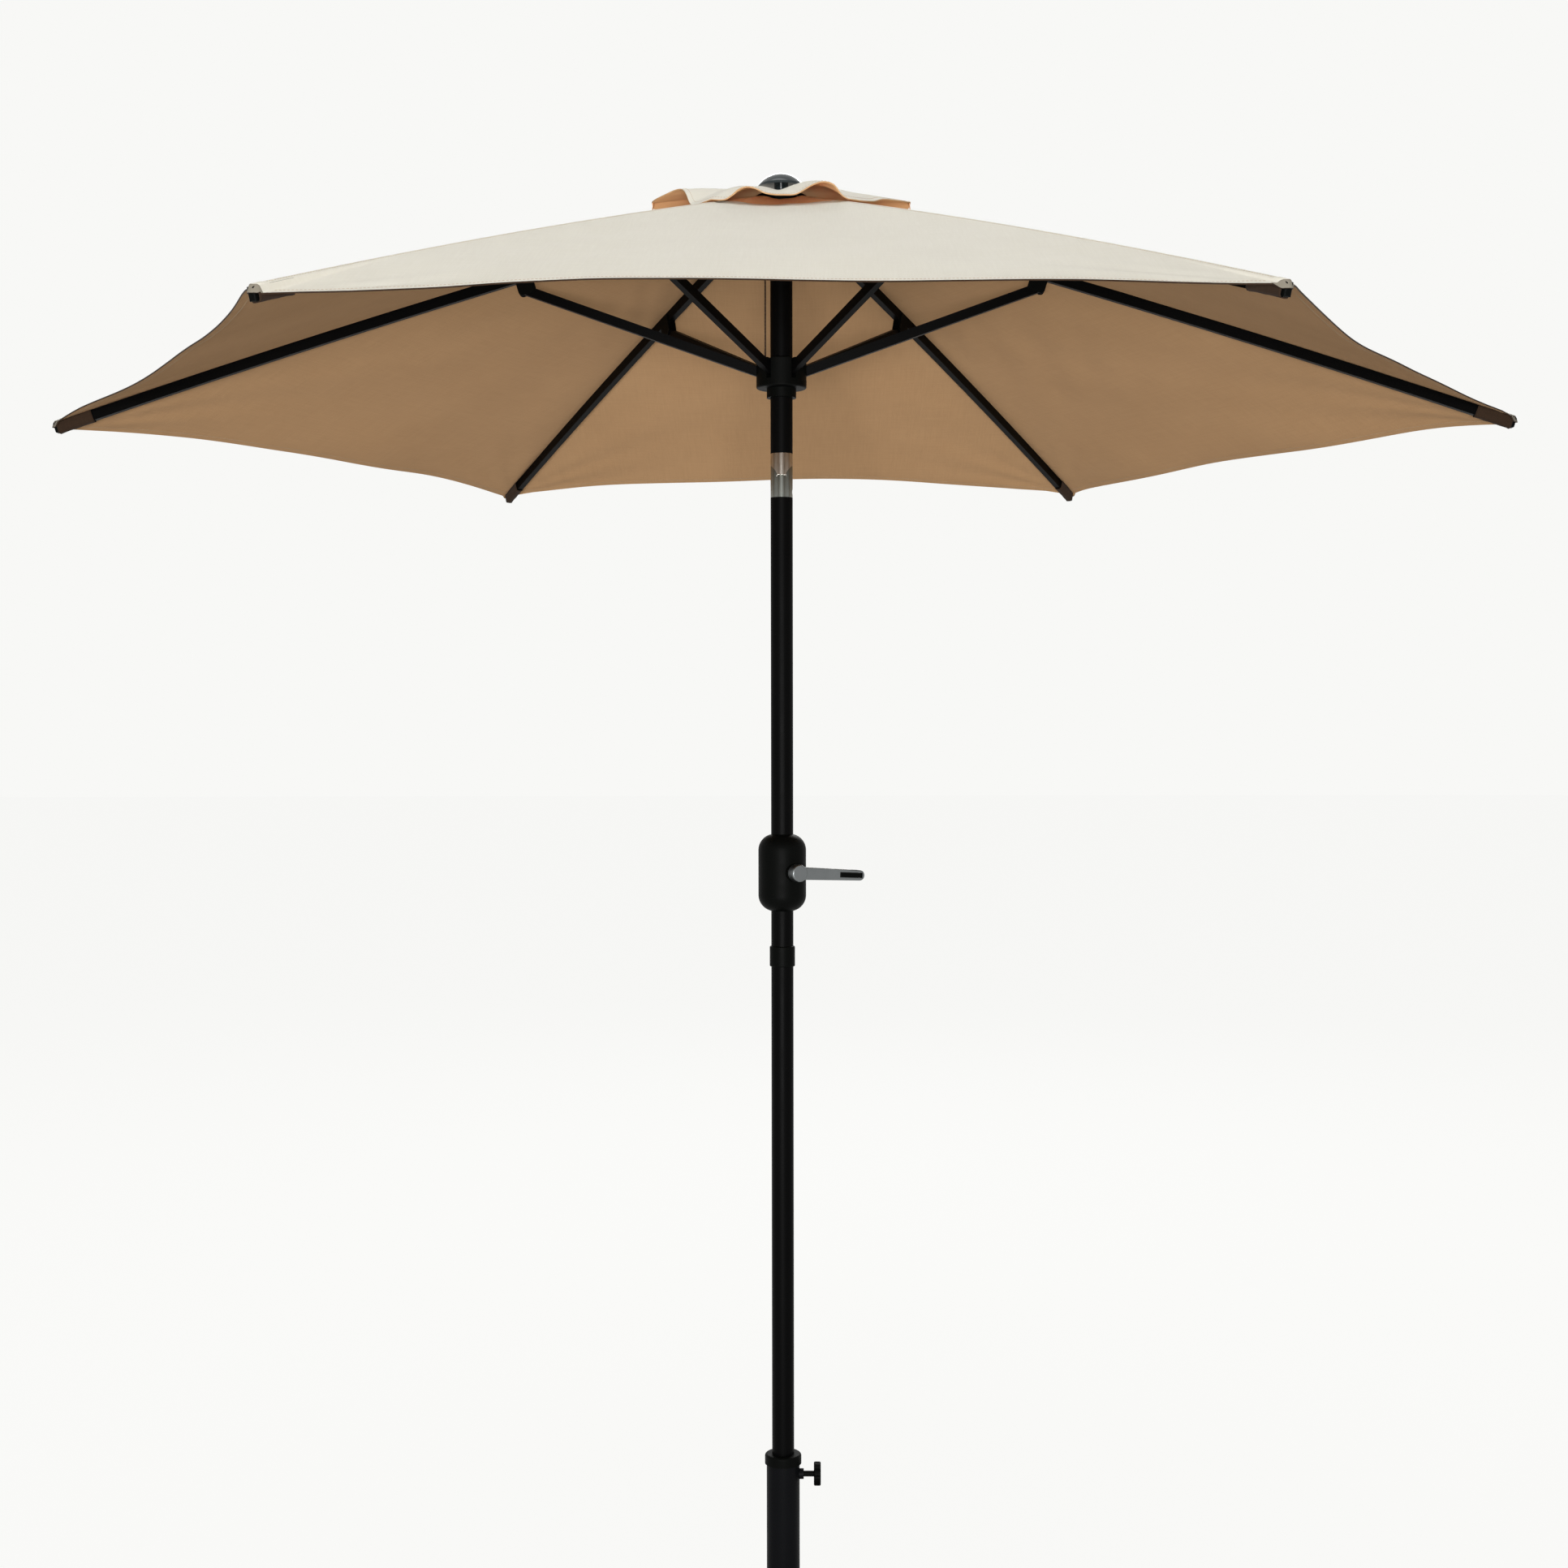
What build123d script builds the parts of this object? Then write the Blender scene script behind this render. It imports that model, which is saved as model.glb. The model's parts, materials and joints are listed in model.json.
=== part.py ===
from build123d import *
import os
from math import atan, cos, degrees, hypot, radians, sin, sqrt, tan

# A crank-and-tilt patio umbrella on a weighted base. Millimetres, +Z up.
# The origin is on the floor, under the pole's axis. Rib 1 points along +X.

# Canopy frame: ribs hinge on the top hub, struts on the ribs and on the runner
RIB_COUNT = 6
TIP_RADIUS = 1250.0
RIB_SLOPE = 17.1
RIB_BOW = 9.0
HUB_PIVOT_HEIGHT = 2518.0
PIVOT_RADIUS = 34.0
STRUT_STATION = 425.0
STRUT_GAP = 9.0

# Rib and strut sections
RIB_WIDTH = 12.0
RIB_HEIGHT = 18.0
RIB_WALL = 1.0
RIB_START = 27.0
RIB_CAP_LENGTH = 9.0
STRUT_HEIGHT = 16.0
STRUT_WALL = 1.2
STRUT_TONGUE_LENGTH = 26.0
TONGUE_WIDTH = 8.0
PLUG_INTO_RIB = 40.0
SADDLE_LENGTH = 30.0
SADDLE_WALL = 2.0
SADDLE_BELOW_PIN = 6.4
PIVOT_PIN_RADIUS = 2.0
PIVOT_PIN_LENGTH = 26.0

# Top hub, runner, pulley and finial
HUB_RADIUS = 45.0
HUB_BELOW_PIVOT = 18.0
HUB_ABOVE_PIVOT = 15.5
HUB_ROOF = 6.0
HUB_SPIGOT_LENGTH = 40.0
HUB_SPIGOT_WALL = 3.0
SLOT_FLOOR_GAP = 0.8
RUNNER_RADIUS = 43.0
RUNNER_WALL = 5.4
RUNNER_BELOW_PIVOT = 26.5
RUNNER_ABOVE_PIVOT = 22.5
RUNNER_SLEEVE_LENGTH = 16.0
PULLEY_AZIMUTH = 150.0
PULLEY_CENTRE_RADIUS = 18.0
PULLEY_BELOW_PIVOT = 5.0
PULLEY_RADIUS = 15.0
PULLEY_GROOVE_RADIUS = 12.5
PULLEY_WIDTH = 5.6
FINIAL_RADIUS = 39.0
FINIAL_HEIGHT = 24.0
FINIAL_LIP = 4.0
FINIAL_NECK_RADIUS = 12.0
FINIAL_NECK_HEIGHT = 15.5
FINIAL_STUD_RADIUS = 4.0
FINIAL_STUD_LENGTH = 10.0

# Pole: a lower tube with a swaged end, a middle tube, and the mast above the tilt joint
POLE_RADIUS = 19.0
POLE_WALL = 1.5
POLE_JOINT_HEIGHT = 1232.0
POLE_SPIGOT_LENGTH = 110.0
POLE_STEP = 3.0
COLLAR_WALL = 2.75
COLLAR_BELOW_JOINT = 15.0
COLLAR_ABOVE_JOINT = 20.0
COLLAR_ROUNDING = 2.0
FOOT_FLANGE_HEIGHT = 6.0
FOOT_PLUG_LENGTH = 30.0

# Tilt joint: a clevis on the pole, a tongue on the mast, a push button below the pin
TILT_HEIGHT = 2058.5
KNUCKLE_REACH = 37.5
KNUCKLE_PLUG_LENGTH = 50.0
KNUCKLE_ROUND = 17.0
TONGUE_HALF = 8.2
TILT_LIMIT = 35.0
TILT_PIN_RADIUS = 3.0
BUTTON_DROP = 27.5
BUTTON_RADIUS = 5.6
BUTTON_LENGTH = 8.0
BUTTON_CHAMFER = 0.6
SPRING_ROOM = 7.0
SPRING_RADIUS = 3.6
SPRING_WIRE = 0.8
SPRING_TURNS = 4

# Crank, spool and lift cord
CRANK_HEIGHT = 1380.0
CRANK_AZIMUTH = -60.0
CRANK_DROOP = 3.4
HOUSING_RADIUS = 41.0
HOUSING_BELOW = 68.0
HOUSING_ABOVE = 65.0
HOUSING_ROUNDING = 28.0
HOUSING_WALL = 3.0
CRANK_BOSS_RADIUS = 15.0
CRANK_BOSS_REACH = 46.0
AXLE_RADIUS = 5.0
AXLE_BACK_REACH = 31.0
SPOOL_CORE_RADIUS = 8.5
SPOOL_FLANGE_RADIUS = 14.5
SPOOL_HALF_WIDTH = 8.5
SPOOL_FLANGE_WALL = 2.0
ARM_HUB_RADIUS = 14.5
ARM_HUB_LENGTH = 17.0
ARM_HUB_ROUNDING = 2.5
ARM_HUB_END_WALL = 2.0
ARM_LENGTH = 120.0
ARM_ROOT_RADIUS = 11.0
ARM_END_RADIUS = 9.0
ARM_THICKNESS = 12.0
ARM_ROUNDING = 1.6
ARM_SET_BACK = 2.0
GRIP_LENGTH = 44.0
GRIP_WIDTH = 8.5
GRIP_PIN_RADIUS = 1.8
GRIP_END_ROUNDING = 2.6
THUMB_NOTCH_START = 102.0
THUMB_NOTCH_END = 116.0
SCREW_SPREAD = 29.5
SCREW_RISE = 30.0
SCREW_BOSS_RADIUS = 5.0
SCREW_RADIUS = 2.0
SCREW_HEAD_RADIUS = 3.6
SCREW_HEAD_HEIGHT = 2.4
CORD_RADIUS = 1.5
CORD_BEND_RADIUS = 800.0

# Canopy cloth and vent cap
CLOTH = 1.2
VENT_HOLE_RADIUS = 70.0
HEM_SCALLOP = 75.0
TIP_BARE = 6.0
POCKET_LENGTH = 64.0
POCKET_WALL = 0.8
VENT_CORNER_RADIUS = 221.0
VENT_MIDDLE_RADIUS = 190.0
VENT_ARCH = 42.0

# Base: cast plate on feet, tube with a plastic cap and a clamp screw
FOOT_HEIGHT = 4.0
FOOT_RADIUS = 12.5
FOOT_CHAMFER = 0.8
FOOT_COUNT = 6
PLATE_RADIUS = 250.0
PLATE_RIM_WIDTH = 26.0
PLATE_RIM_HEIGHT = 12.0
PLATE_WEB = 11.0
PLATE_HUB_RADIUS = 44.0
PLATE_HUB_HEIGHT = 64.0
PLATE_CROWN = 46.0
PLATE_SOCKET_FLOOR = 34.0
PLATE_FLOOR_WALL = 12.0
PLATE_RIB_WIDTH = 8.0
TUBE_RADIUS = 28.5
TUBE_WALL = 2.5
TUBE_FLOOR = 8.0
TUBE_TOP = 357.0
CAP_RADIUS = 31.5
CAP_HEIGHT = 17.0
CAP_SLEEVE_LENGTH = 77.0
CLAMP_HEIGHT = 338.0
CLAMP_SCREW_RADIUS = 4.9
CLAMP_BOSS_RADIUS = 9.0
CLAMP_BOSS_LENGTH = 7.0
CLAMP_HEAD_START = 53.0
CLAMP_HEAD_RADIUS = 20.0
CLAMP_HEAD_LENGTH = 12.0
CLAMP_LOBES = 8
CLAMP_GROOVE_SHARE = 0.6
BASE_BOLT_RADIUS = 6.0
BASE_BOLT_HEAD_RADIUS = 10.0
BASE_BOLT_HEAD_HEIGHT = 7.0
BASE_WASHER_RADIUS = 14.0
BASE_WASHER = 2.0

# Clearances: parts that slide or turn, pins in their holes, pieces fixed together, cloth
RUN_GAP = 0.3
PIN_GAP = 0.1
FIT_GAP = 0.05
SIDE_GAP = 0.4
CLOTH_GAP = 0.35

# How far a cut or a joined form runs past the face that it starts from
OVERLAP = 1.0

# Places worked out from the sizes above
POLE_BORE = POLE_RADIUS - POLE_WALL
PLUG_RADIUS = POLE_BORE - FIT_GAP
RIB_ANGLE = radians(RIB_SLOPE)
RIB_LENGTH = (TIP_RADIUS - PIVOT_RADIUS) / cos(RIB_ANGLE)
RIB_ARC = (RIB_LENGTH ** 2 / 4 + RIB_BOW ** 2) / (2 * RIB_BOW)


def rib_rise(out):
    """How far the rib's bowed centreline stands above the line from its hinge to its tip."""
    return sqrt(RIB_ARC ** 2 - (out - RIB_LENGTH / 2) ** 2) - RIB_ARC + RIB_BOW


SADDLE_RISE = rib_rise(STRUT_STATION)
BRACKET_DROP = RIB_HEIGHT / 2 + STRUT_HEIGHT / 2 + STRUT_GAP - SADDLE_RISE
LINK_LENGTH = hypot(STRUT_STATION, BRACKET_DROP)
LINK_SLOPE = RIB_SLOPE + degrees(atan(BRACKET_DROP / STRUT_STATION))
RUNNER_PIVOT_HEIGHT = HUB_PIVOT_HEIGHT - 2 * LINK_LENGTH * sin(radians(LINK_SLOPE))
STRUT_WIDTH = RIB_WIDTH - 2 * SIDE_GAP
SLOT_WIDTH = TONGUE_WIDTH + 2 * RUN_GAP
EYE_RADIUS = STRUT_HEIGHT / 2
SLOT_FLOOR_RADIUS = PIVOT_RADIUS - EYE_RADIUS - SLOT_FLOOR_GAP
HUB_BOTTOM = HUB_PIVOT_HEIGHT - HUB_BELOW_PIVOT
HUB_TOP = HUB_PIVOT_HEIGHT + HUB_ABOVE_PIVOT
RUNNER_BOTTOM = RUNNER_PIVOT_HEIGHT - RUNNER_BELOW_PIVOT
RUNNER_TOP = RUNNER_PIVOT_HEIGHT + RUNNER_ABOVE_PIVOT
RUNNER_BORE = POLE_RADIUS + 2 * RUN_GAP
KNUCKLE_BOTTOM = TILT_HEIGHT - KNUCKLE_REACH
KNUCKLE_TOP = TILT_HEIGHT + KNUCKLE_REACH
CHEEK_START = TONGUE_HALF + RUN_GAP
PULLEY_HEIGHT = HUB_PIVOT_HEIGHT - PULLEY_BELOW_PIVOT
CORD_TURN_RADIUS = PULLEY_GROOVE_RADIUS + CORD_RADIUS + RUN_GAP
CORD_OFFSET = SPOOL_CORE_RADIUS + CORD_RADIUS + RUN_GAP
CORD_X = CORD_OFFSET * cos(radians(CRANK_AZIMUTH - 90))
CORD_Y = CORD_OFFSET * sin(radians(CRANK_AZIMUTH - 90))
CORD_HOLE_RADIUS = CORD_RADIUS + RUN_GAP
ARM_FACE = ARM_HUB_LENGTH - ARM_SET_BACK
FINIAL_BOTTOM = HUB_TOP + FINIAL_NECK_HEIGHT
TUBE_BORE = TUBE_RADIUS - TUBE_WALL
TUBE_BOTTOM = PLATE_SOCKET_FLOOR
POLE_FOOT = TUBE_BOTTOM + TUBE_FLOOR + RUN_GAP
POLE_BOTTOM = POLE_FOOT + FOOT_FLANGE_HEIGHT
RIDGE_DROP = tan(RIB_ANGLE) * tan(radians(180 / RIB_COUNT))
RIDGE_LIFT = RIB_HEIGHT / 2 + (RIDGE_DROP * RIB_WIDTH / 2 + CLOTH_GAP) * cos(RIB_ANGLE)
CRANK_PLANE = Plane(
    origin=(0, 0, CRANK_HEIGHT),
    x_dir=(cos(radians(CRANK_AZIMUTH + 90)), sin(radians(CRANK_AZIMUTH + 90)), 0),
    z_dir=(cos(radians(CRANK_AZIMUTH)), sin(radians(CRANK_AZIMUTH)), 0),
)
UPWARD = (Align.CENTER, Align.CENTER, Align.MIN)
DOWNWARD = (Align.CENTER, Align.CENTER, Align.MAX)
RADIAL = (Align.MIN, Align.CENTER, Align.MIN)


def rod(radius, low, high):
    """An upright cylinder on the axis, from one height to another."""
    return Pos(0, 0, low) * Cylinder(radius, high - low, align=UPWARD)


def ring(outer, inner, low, high):
    return rod(outer, low, high) - rod(inner, low, high)


def cross_rod(radius, start, end, height):
    """A cylinder along X at a height."""
    return Pos(start, 0, height) * Rot(0, 90, 0) * Cylinder(radius, end - start, align=UPWARD)


def tangent_rod(radius, length, out, height):
    """A cylinder along Y, centred at a distance out along X."""
    return Pos(out, 0, height) * Rot(90, 0, 0) * Cylinder(radius, length)


def block(start, end, width, low, high):
    """A box from one X to another, centred on Y."""
    return Pos(start, 0, low) * Box(end - start, width, high - low, align=RADIAL)


def turned(*profile):
    """A solid of revolution from a closed profile of edges drawn as (radius, height)."""
    face = make_face([edge for curve in profile for edge in curve.edges()])
    return revolve(Plane.XZ * face, Axis.Z)


def around(shape, count=RIB_COUNT):
    """Copies of a shape, evenly spaced about the pole."""
    return [Rot(0, 0, 360 / count * k) * shape for k in range(count)]


def at_rib(shape, number):
    """Carries a shape from the rib's own frame, where +X runs out along the rib, to its place."""
    place = Pos(PIVOT_RADIUS, 0, HUB_PIVOT_HEIGHT) * Rot(0, RIB_SLOPE, 0)
    return Rot(0, 0, 360 / RIB_COUNT * number) * place * shape


def make_base_plate():
    """Cast dish: a flat rim, a hollow crown, a hub with the tube's socket, and ribs underneath."""
    rim_inner = PLATE_RADIUS - PLATE_RIM_WIDTH
    rim_top = FOOT_HEIGHT + PLATE_RIM_HEIGHT
    rounding = PLATE_RIM_HEIGHT / 3
    foot = PLATE_HUB_RADIUS + PLATE_WEB
    floor = PLATE_SOCKET_FLOOR - PLATE_FLOOR_WALL
    under = PLATE_CROWN - PLATE_WEB
    rim_under = rim_top - PLATE_WEB
    middle = (foot + rim_inner) / 2
    sag = (PLATE_CROWN - rim_top) / 8
    bore = BASE_BOLT_RADIUS + PIN_GAP
    dish = turned(
        Polyline(
            (bore, floor),
            (PLATE_HUB_RADIUS, floor),
            (PLATE_HUB_RADIUS, under),
            (foot, under),
        ),
        ThreePointArc(
            (foot, under),
            (middle, (under + rim_under) / 2 - sag),
            (rim_inner, rim_under),
        ),
        Polyline(
            (rim_inner, rim_under),
            (rim_inner, FOOT_HEIGHT),
            (PLATE_RADIUS, FOOT_HEIGHT),
            (PLATE_RADIUS, rim_top - rounding),
        ),
        RadiusArc((PLATE_RADIUS, rim_top - rounding), (PLATE_RADIUS - rounding, rim_top), -rounding),
        Line((PLATE_RADIUS - rounding, rim_top), (rim_inner, rim_top)),
        ThreePointArc(
            (rim_inner, rim_top),
            (middle, (PLATE_CROWN + rim_top) / 2 - sag),
            (foot, PLATE_CROWN),
        ),
        Polyline(
            (foot, PLATE_CROWN),
            (PLATE_HUB_RADIUS, PLATE_HUB_HEIGHT),
            (TUBE_RADIUS + FIT_GAP, PLATE_HUB_HEIGHT),
            (TUBE_RADIUS + FIT_GAP, PLATE_SOCKET_FLOOR),
            (bore, PLATE_SOCKET_FLOOR),
            (bore, floor),
        ),
    )
    outline = Polyline(
        (PLATE_HUB_RADIUS - OVERLAP, floor),
        (rim_inner + OVERLAP, FOOT_HEIGHT + OVERLAP),
        (rim_inner + OVERLAP, rim_under + OVERLAP),
        (foot, under + OVERLAP),
        (PLATE_HUB_RADIUS - OVERLAP, under + OVERLAP),
        close=True,
    )
    rib = extrude(make_face(Plane.XZ * outline), PLATE_RIB_WIDTH / 2, both=True)
    return dish + around(rib)


def make_base_feet():
    foot = Pos(PLATE_RADIUS - PLATE_RIM_WIDTH / 2, 0, 0) * rod(FOOT_RADIUS, 0, FOOT_HEIGHT)
    foot = chamfer(foot.edges().sort_by(Axis.Z)[0], FOOT_CHAMFER)
    return Compound(around(foot, FOOT_COUNT))


def make_base_bolt():
    """Hex bolt with a washer, from below the plate into the tube's welded floor."""
    under = PLATE_SOCKET_FLOOR - PLATE_FLOOR_WALL
    head_top = under - BASE_WASHER
    head = extrude(
        Pos(0, 0, head_top - BASE_BOLT_HEAD_HEIGHT) * RegularPolygon(BASE_BOLT_HEAD_RADIUS, 6),
        BASE_BOLT_HEAD_HEIGHT,
    )
    shank = rod(BASE_BOLT_RADIUS, head_top, TUBE_BOTTOM + TUBE_FLOOR - RUN_GAP)
    return head + rod(BASE_WASHER_RADIUS, head_top, under) + shank


def make_base_tube():
    """Steel tube with a welded floor and a welded boss for the clamp screw."""
    wall = ring(TUBE_RADIUS, TUBE_BORE, TUBE_BOTTOM, TUBE_TOP)
    floor = ring(TUBE_BORE, BASE_BOLT_RADIUS + PIN_GAP, TUBE_BOTTOM, TUBE_BOTTOM + TUBE_FLOOR)
    boss = cross_rod(CLAMP_BOSS_RADIUS, 0, TUBE_RADIUS + CLAMP_BOSS_LENGTH, CLAMP_HEIGHT)
    boss -= rod(TUBE_BORE, CLAMP_HEIGHT - 2 * CLAMP_BOSS_RADIUS, CLAMP_HEIGHT + 2 * CLAMP_BOSS_RADIUS)
    thread = cross_rod(CLAMP_SCREW_RADIUS + PIN_GAP, 0, 2 * TUBE_RADIUS, CLAMP_HEIGHT)
    return wall + floor + boss - thread


def make_base_tube_cap():
    """Plastic cap on the tube, with a sleeve inside it that guides the pole."""
    top = TUBE_TOP + CAP_HEIGHT
    flange = rod(CAP_RADIUS, TUBE_TOP, top)
    flange = fillet(flange.edges().sort_by(Axis.Z)[-1], CAP_HEIGHT / 4)
    sleeve = rod(TUBE_BORE - FIT_GAP, TUBE_TOP - CAP_SLEEVE_LENGTH, TUBE_TOP)
    bore = rod(POLE_RADIUS + RUN_GAP, TUBE_TOP - CAP_SLEEVE_LENGTH, top)
    screw_hole = cross_rod(CLAMP_SCREW_RADIUS + RUN_GAP, 0, TUBE_RADIUS, CLAMP_HEIGHT)
    return flange + sleeve - bore - screw_hole


def make_base_clamp_knob():
    """Clamp screw with a scalloped head, along +X."""
    tip = POLE_RADIUS + RUN_GAP
    screw = cross_rod(CLAMP_SCREW_RADIUS, tip, CLAMP_HEAD_START + OVERLAP, CLAMP_HEIGHT)
    head_end = CLAMP_HEAD_START + CLAMP_HEAD_LENGTH
    head = cross_rod(CLAMP_HEAD_RADIUS, CLAMP_HEAD_START, head_end, CLAMP_HEIGHT)
    head = fillet(head.edges().filter_by(GeomType.CIRCLE), CLAMP_HEAD_LENGTH / 5)
    lobe = 2 * CLAMP_HEAD_RADIUS / CLAMP_LOBES
    groove_height = CLAMP_HEAD_RADIUS + lobe * CLAMP_GROOVE_SHARE
    groove = cross_rod(lobe, CLAMP_HEAD_START - OVERLAP, head_end + OVERLAP, groove_height)
    for k in range(CLAMP_LOBES):
        head -= Pos(0, 0, CLAMP_HEIGHT) * Rot(360 / CLAMP_LOBES * k, 0, 0) * groove
    return screw + head


def make_lower_pole():
    """Steel tube whose top is swaged down to plug into the middle pole."""
    spigot_radius = POLE_BORE - RUN_GAP
    spigot_bore = spigot_radius - POLE_WALL
    tube = ring(POLE_RADIUS, POLE_BORE, POLE_BOTTOM, POLE_JOINT_HEIGHT)
    step = ring(POLE_RADIUS, spigot_bore, POLE_JOINT_HEIGHT - POLE_STEP, POLE_JOINT_HEIGHT)
    spigot = ring(spigot_radius, spigot_bore, POLE_JOINT_HEIGHT, POLE_JOINT_HEIGHT + POLE_SPIGOT_LENGTH)
    return tube + step + spigot


def make_pole_foot():
    """Plug in the pole's lower end, whose flange centres it in the base tube."""
    flange = rod(TUBE_BORE - RUN_GAP, POLE_FOOT, POLE_BOTTOM)
    return flange + rod(PLUG_RADIUS, POLE_BOTTOM, POLE_BOTTOM + FOOT_PLUG_LENGTH)


def make_pole_collar():
    low = POLE_JOINT_HEIGHT - COLLAR_BELOW_JOINT
    high = POLE_JOINT_HEIGHT + COLLAR_ABOVE_JOINT
    collar = fillet(rod(POLE_RADIUS + COLLAR_WALL, low, high).edges(), COLLAR_ROUNDING)
    collar -= rod(POLE_RADIUS + FIT_GAP, low, POLE_JOINT_HEIGHT)
    return collar - rod(POLE_RADIUS + RUN_GAP, POLE_JOINT_HEIGHT, high)


def make_middle_pole():
    """Tube from the collar to the tilt joint, drilled through for the crank's axle."""
    tube = ring(POLE_RADIUS, POLE_BORE, POLE_JOINT_HEIGHT, KNUCKLE_BOTTOM)
    return tube - CRANK_PLANE * Cylinder(AXLE_RADIUS + RUN_GAP, 4 * POLE_RADIUS)


def housing_form(inset):
    """The housing's outer form, a drum with broad rounded ends, drawn in by an inset."""
    radius = HOUSING_RADIUS - inset
    low = CRANK_HEIGHT - HOUSING_BELOW + inset
    high = CRANK_HEIGHT + HOUSING_ABOVE - inset
    drum = rod(radius, low, high)
    return fillet(drum.edges().filter_by(GeomType.CIRCLE), HOUSING_ROUNDING - inset)


def make_crank_housing():
    """Front and back shells, split across the axle, with the axle's bearings and screw bosses."""
    low = CRANK_HEIGHT - HOUSING_BELOW
    high = CRANK_HEIGHT + HOUSING_ABOVE
    inside = housing_form(HOUSING_WALL)
    shell = housing_form(0) - inside
    boss = CRANK_PLANE * Cylinder(CRANK_BOSS_RADIUS, CRANK_BOSS_REACH, align=UPWARD)
    bearing = CRANK_PLANE * Pos(0, 0, -HOUSING_RADIUS + HOUSING_WALL / 2)
    bearing *= Cylinder(CRANK_BOSS_RADIUS, HOUSING_RADIUS - HOUSING_WALL / 2, align=UPWARD)
    screw_boss = Cylinder(SCREW_BOSS_RADIUS, 2 * HOUSING_RADIUS)
    posts = [inside & CRANK_PLANE * place * screw_boss for place in screw_places()]
    body = shell + boss + (housing_form(0) & bearing) + posts
    body -= rod(POLE_RADIUS + FIT_GAP, low - OVERLAP, high + OVERLAP)
    axle_hole = Cylinder(AXLE_RADIUS + PIN_GAP, 4 * HOUSING_RADIUS, align=UPWARD)
    body -= CRANK_PLANE * Pos(0, 0, -AXLE_BACK_REACH - RUN_GAP) * axle_hole
    for place in screw_places():
        body -= CRANK_PLANE * place * screw_hole()
    front = Box(6 * HOUSING_RADIUS, 6 * HOUSING_RADIUS, 3 * HOUSING_RADIUS, align=UPWARD)
    front_half = body & (CRANK_PLANE * front)
    return front_half, body - CRANK_PLANE * front


def screw_places():
    return [Pos(x, y, 0) for x in (-SCREW_SPREAD, SCREW_SPREAD) for y in (-SCREW_RISE, SCREW_RISE)]


def screw_head_plane():
    """How far behind the split the screw heads sit, just inside the housing's back."""
    return -sqrt((HOUSING_RADIUS - HOUSING_WALL) ** 2 - SCREW_SPREAD ** 2) + SCREW_HEAD_HEIGHT


def screw_hole():
    """Clearance for a screw's shank in front of its head, and for the head behind that."""
    back = screw_head_plane()
    shank = Pos(0, 0, back) * Cylinder(SCREW_RADIUS + FIT_GAP, 2 * abs(back), align=UPWARD)
    well = Cylinder(SCREW_HEAD_RADIUS + FIT_GAP, HOUSING_RADIUS, align=DOWNWARD)
    return shank + Pos(0, 0, back) * well


def make_crank_housing_screws():
    back = screw_head_plane()
    shank = Pos(0, 0, back) * Cylinder(SCREW_RADIUS, 2 * abs(back) - RUN_GAP, align=UPWARD)
    head = Pos(0, 0, back) * Cylinder(SCREW_HEAD_RADIUS, SCREW_HEAD_HEIGHT, align=DOWNWARD)
    return Compound([CRANK_PLANE * place * (shank + head) for place in screw_places()])


def make_crank_spool():
    """Axle and spool in one piece: the cord winds between the flanges, inside the pole."""
    inner = SPOOL_HALF_WIDTH - SPOOL_FLANGE_WALL
    axle_end = CRANK_BOSS_REACH + RUN_GAP + ARM_HUB_LENGTH - ARM_HUB_END_WALL
    axle = Pos(0, 0, -AXLE_BACK_REACH) * Cylinder(AXLE_RADIUS, AXLE_BACK_REACH + axle_end, align=UPWARD)
    core = Cylinder(SPOOL_CORE_RADIUS, 2 * SPOOL_HALF_WIDTH)
    flange = Cylinder(SPOOL_FLANGE_RADIUS, SPOOL_FLANGE_WALL)
    middle = inner + SPOOL_FLANGE_WALL / 2
    return CRANK_PLANE * (axle + core + Pos(0, 0, middle) * flange + Pos(0, 0, -middle) * flange)


def arm_plane():
    """The arm's own frame: +X out along the arm, +Z out along the axle."""
    return CRANK_PLANE * Pos(0, 0, CRANK_BOSS_REACH + RUN_GAP) * Rot(0, 0, -CRANK_DROOP)


def make_crank_arm():
    """Hub on the axle, and a tapered arm with a recess that the folding grip lies in."""
    hub = Cylinder(ARM_HUB_RADIUS, ARM_HUB_LENGTH, align=UPWARD)
    hub = fillet(hub.edges().sort_by(Axis.Z)[-1], ARM_HUB_ROUNDING)
    outline = make_hull(
        [
            *Circle(ARM_ROOT_RADIUS).edges(),
            *(Pos(ARM_LENGTH, 0) * Circle(ARM_END_RADIUS)).edges(),
        ]
    )
    arm = extrude(Pos(0, 0, ARM_FACE - ARM_THICKNESS) * outline, ARM_THICKNESS)
    arm = fillet(arm.faces().sort_by(Axis.Z)[-1].edges(), ARM_ROUNDING)
    room = GRIP_WIDTH + 2 * RUN_GAP
    floor = ARM_FACE - GRIP_WIDTH - RUN_GAP
    start = ARM_LENGTH - GRIP_LENGTH + GRIP_WIDTH / 2 - 2 * RUN_GAP
    end = ARM_LENGTH + GRIP_WIDTH / 2 + RUN_GAP
    arm -= block(start, end, room, floor, ARM_FACE + OVERLAP)
    notch = Box(THUMB_NOTCH_END - THUMB_NOTCH_START, 2 * ARM_END_RADIUS, GRIP_WIDTH, align=RADIAL)
    arm -= Pos(THUMB_NOTCH_START, ARM_END_RADIUS + GRIP_WIDTH / 4, floor) * notch
    arm += tangent_rod(GRIP_PIN_RADIUS, room + OVERLAP, ARM_LENGTH, ARM_FACE - GRIP_WIDTH / 2)
    bore = Cylinder(AXLE_RADIUS + FIT_GAP, ARM_HUB_LENGTH - ARM_HUB_END_WALL, align=UPWARD)
    return arm_plane() * (hub + arm - bore)


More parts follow.
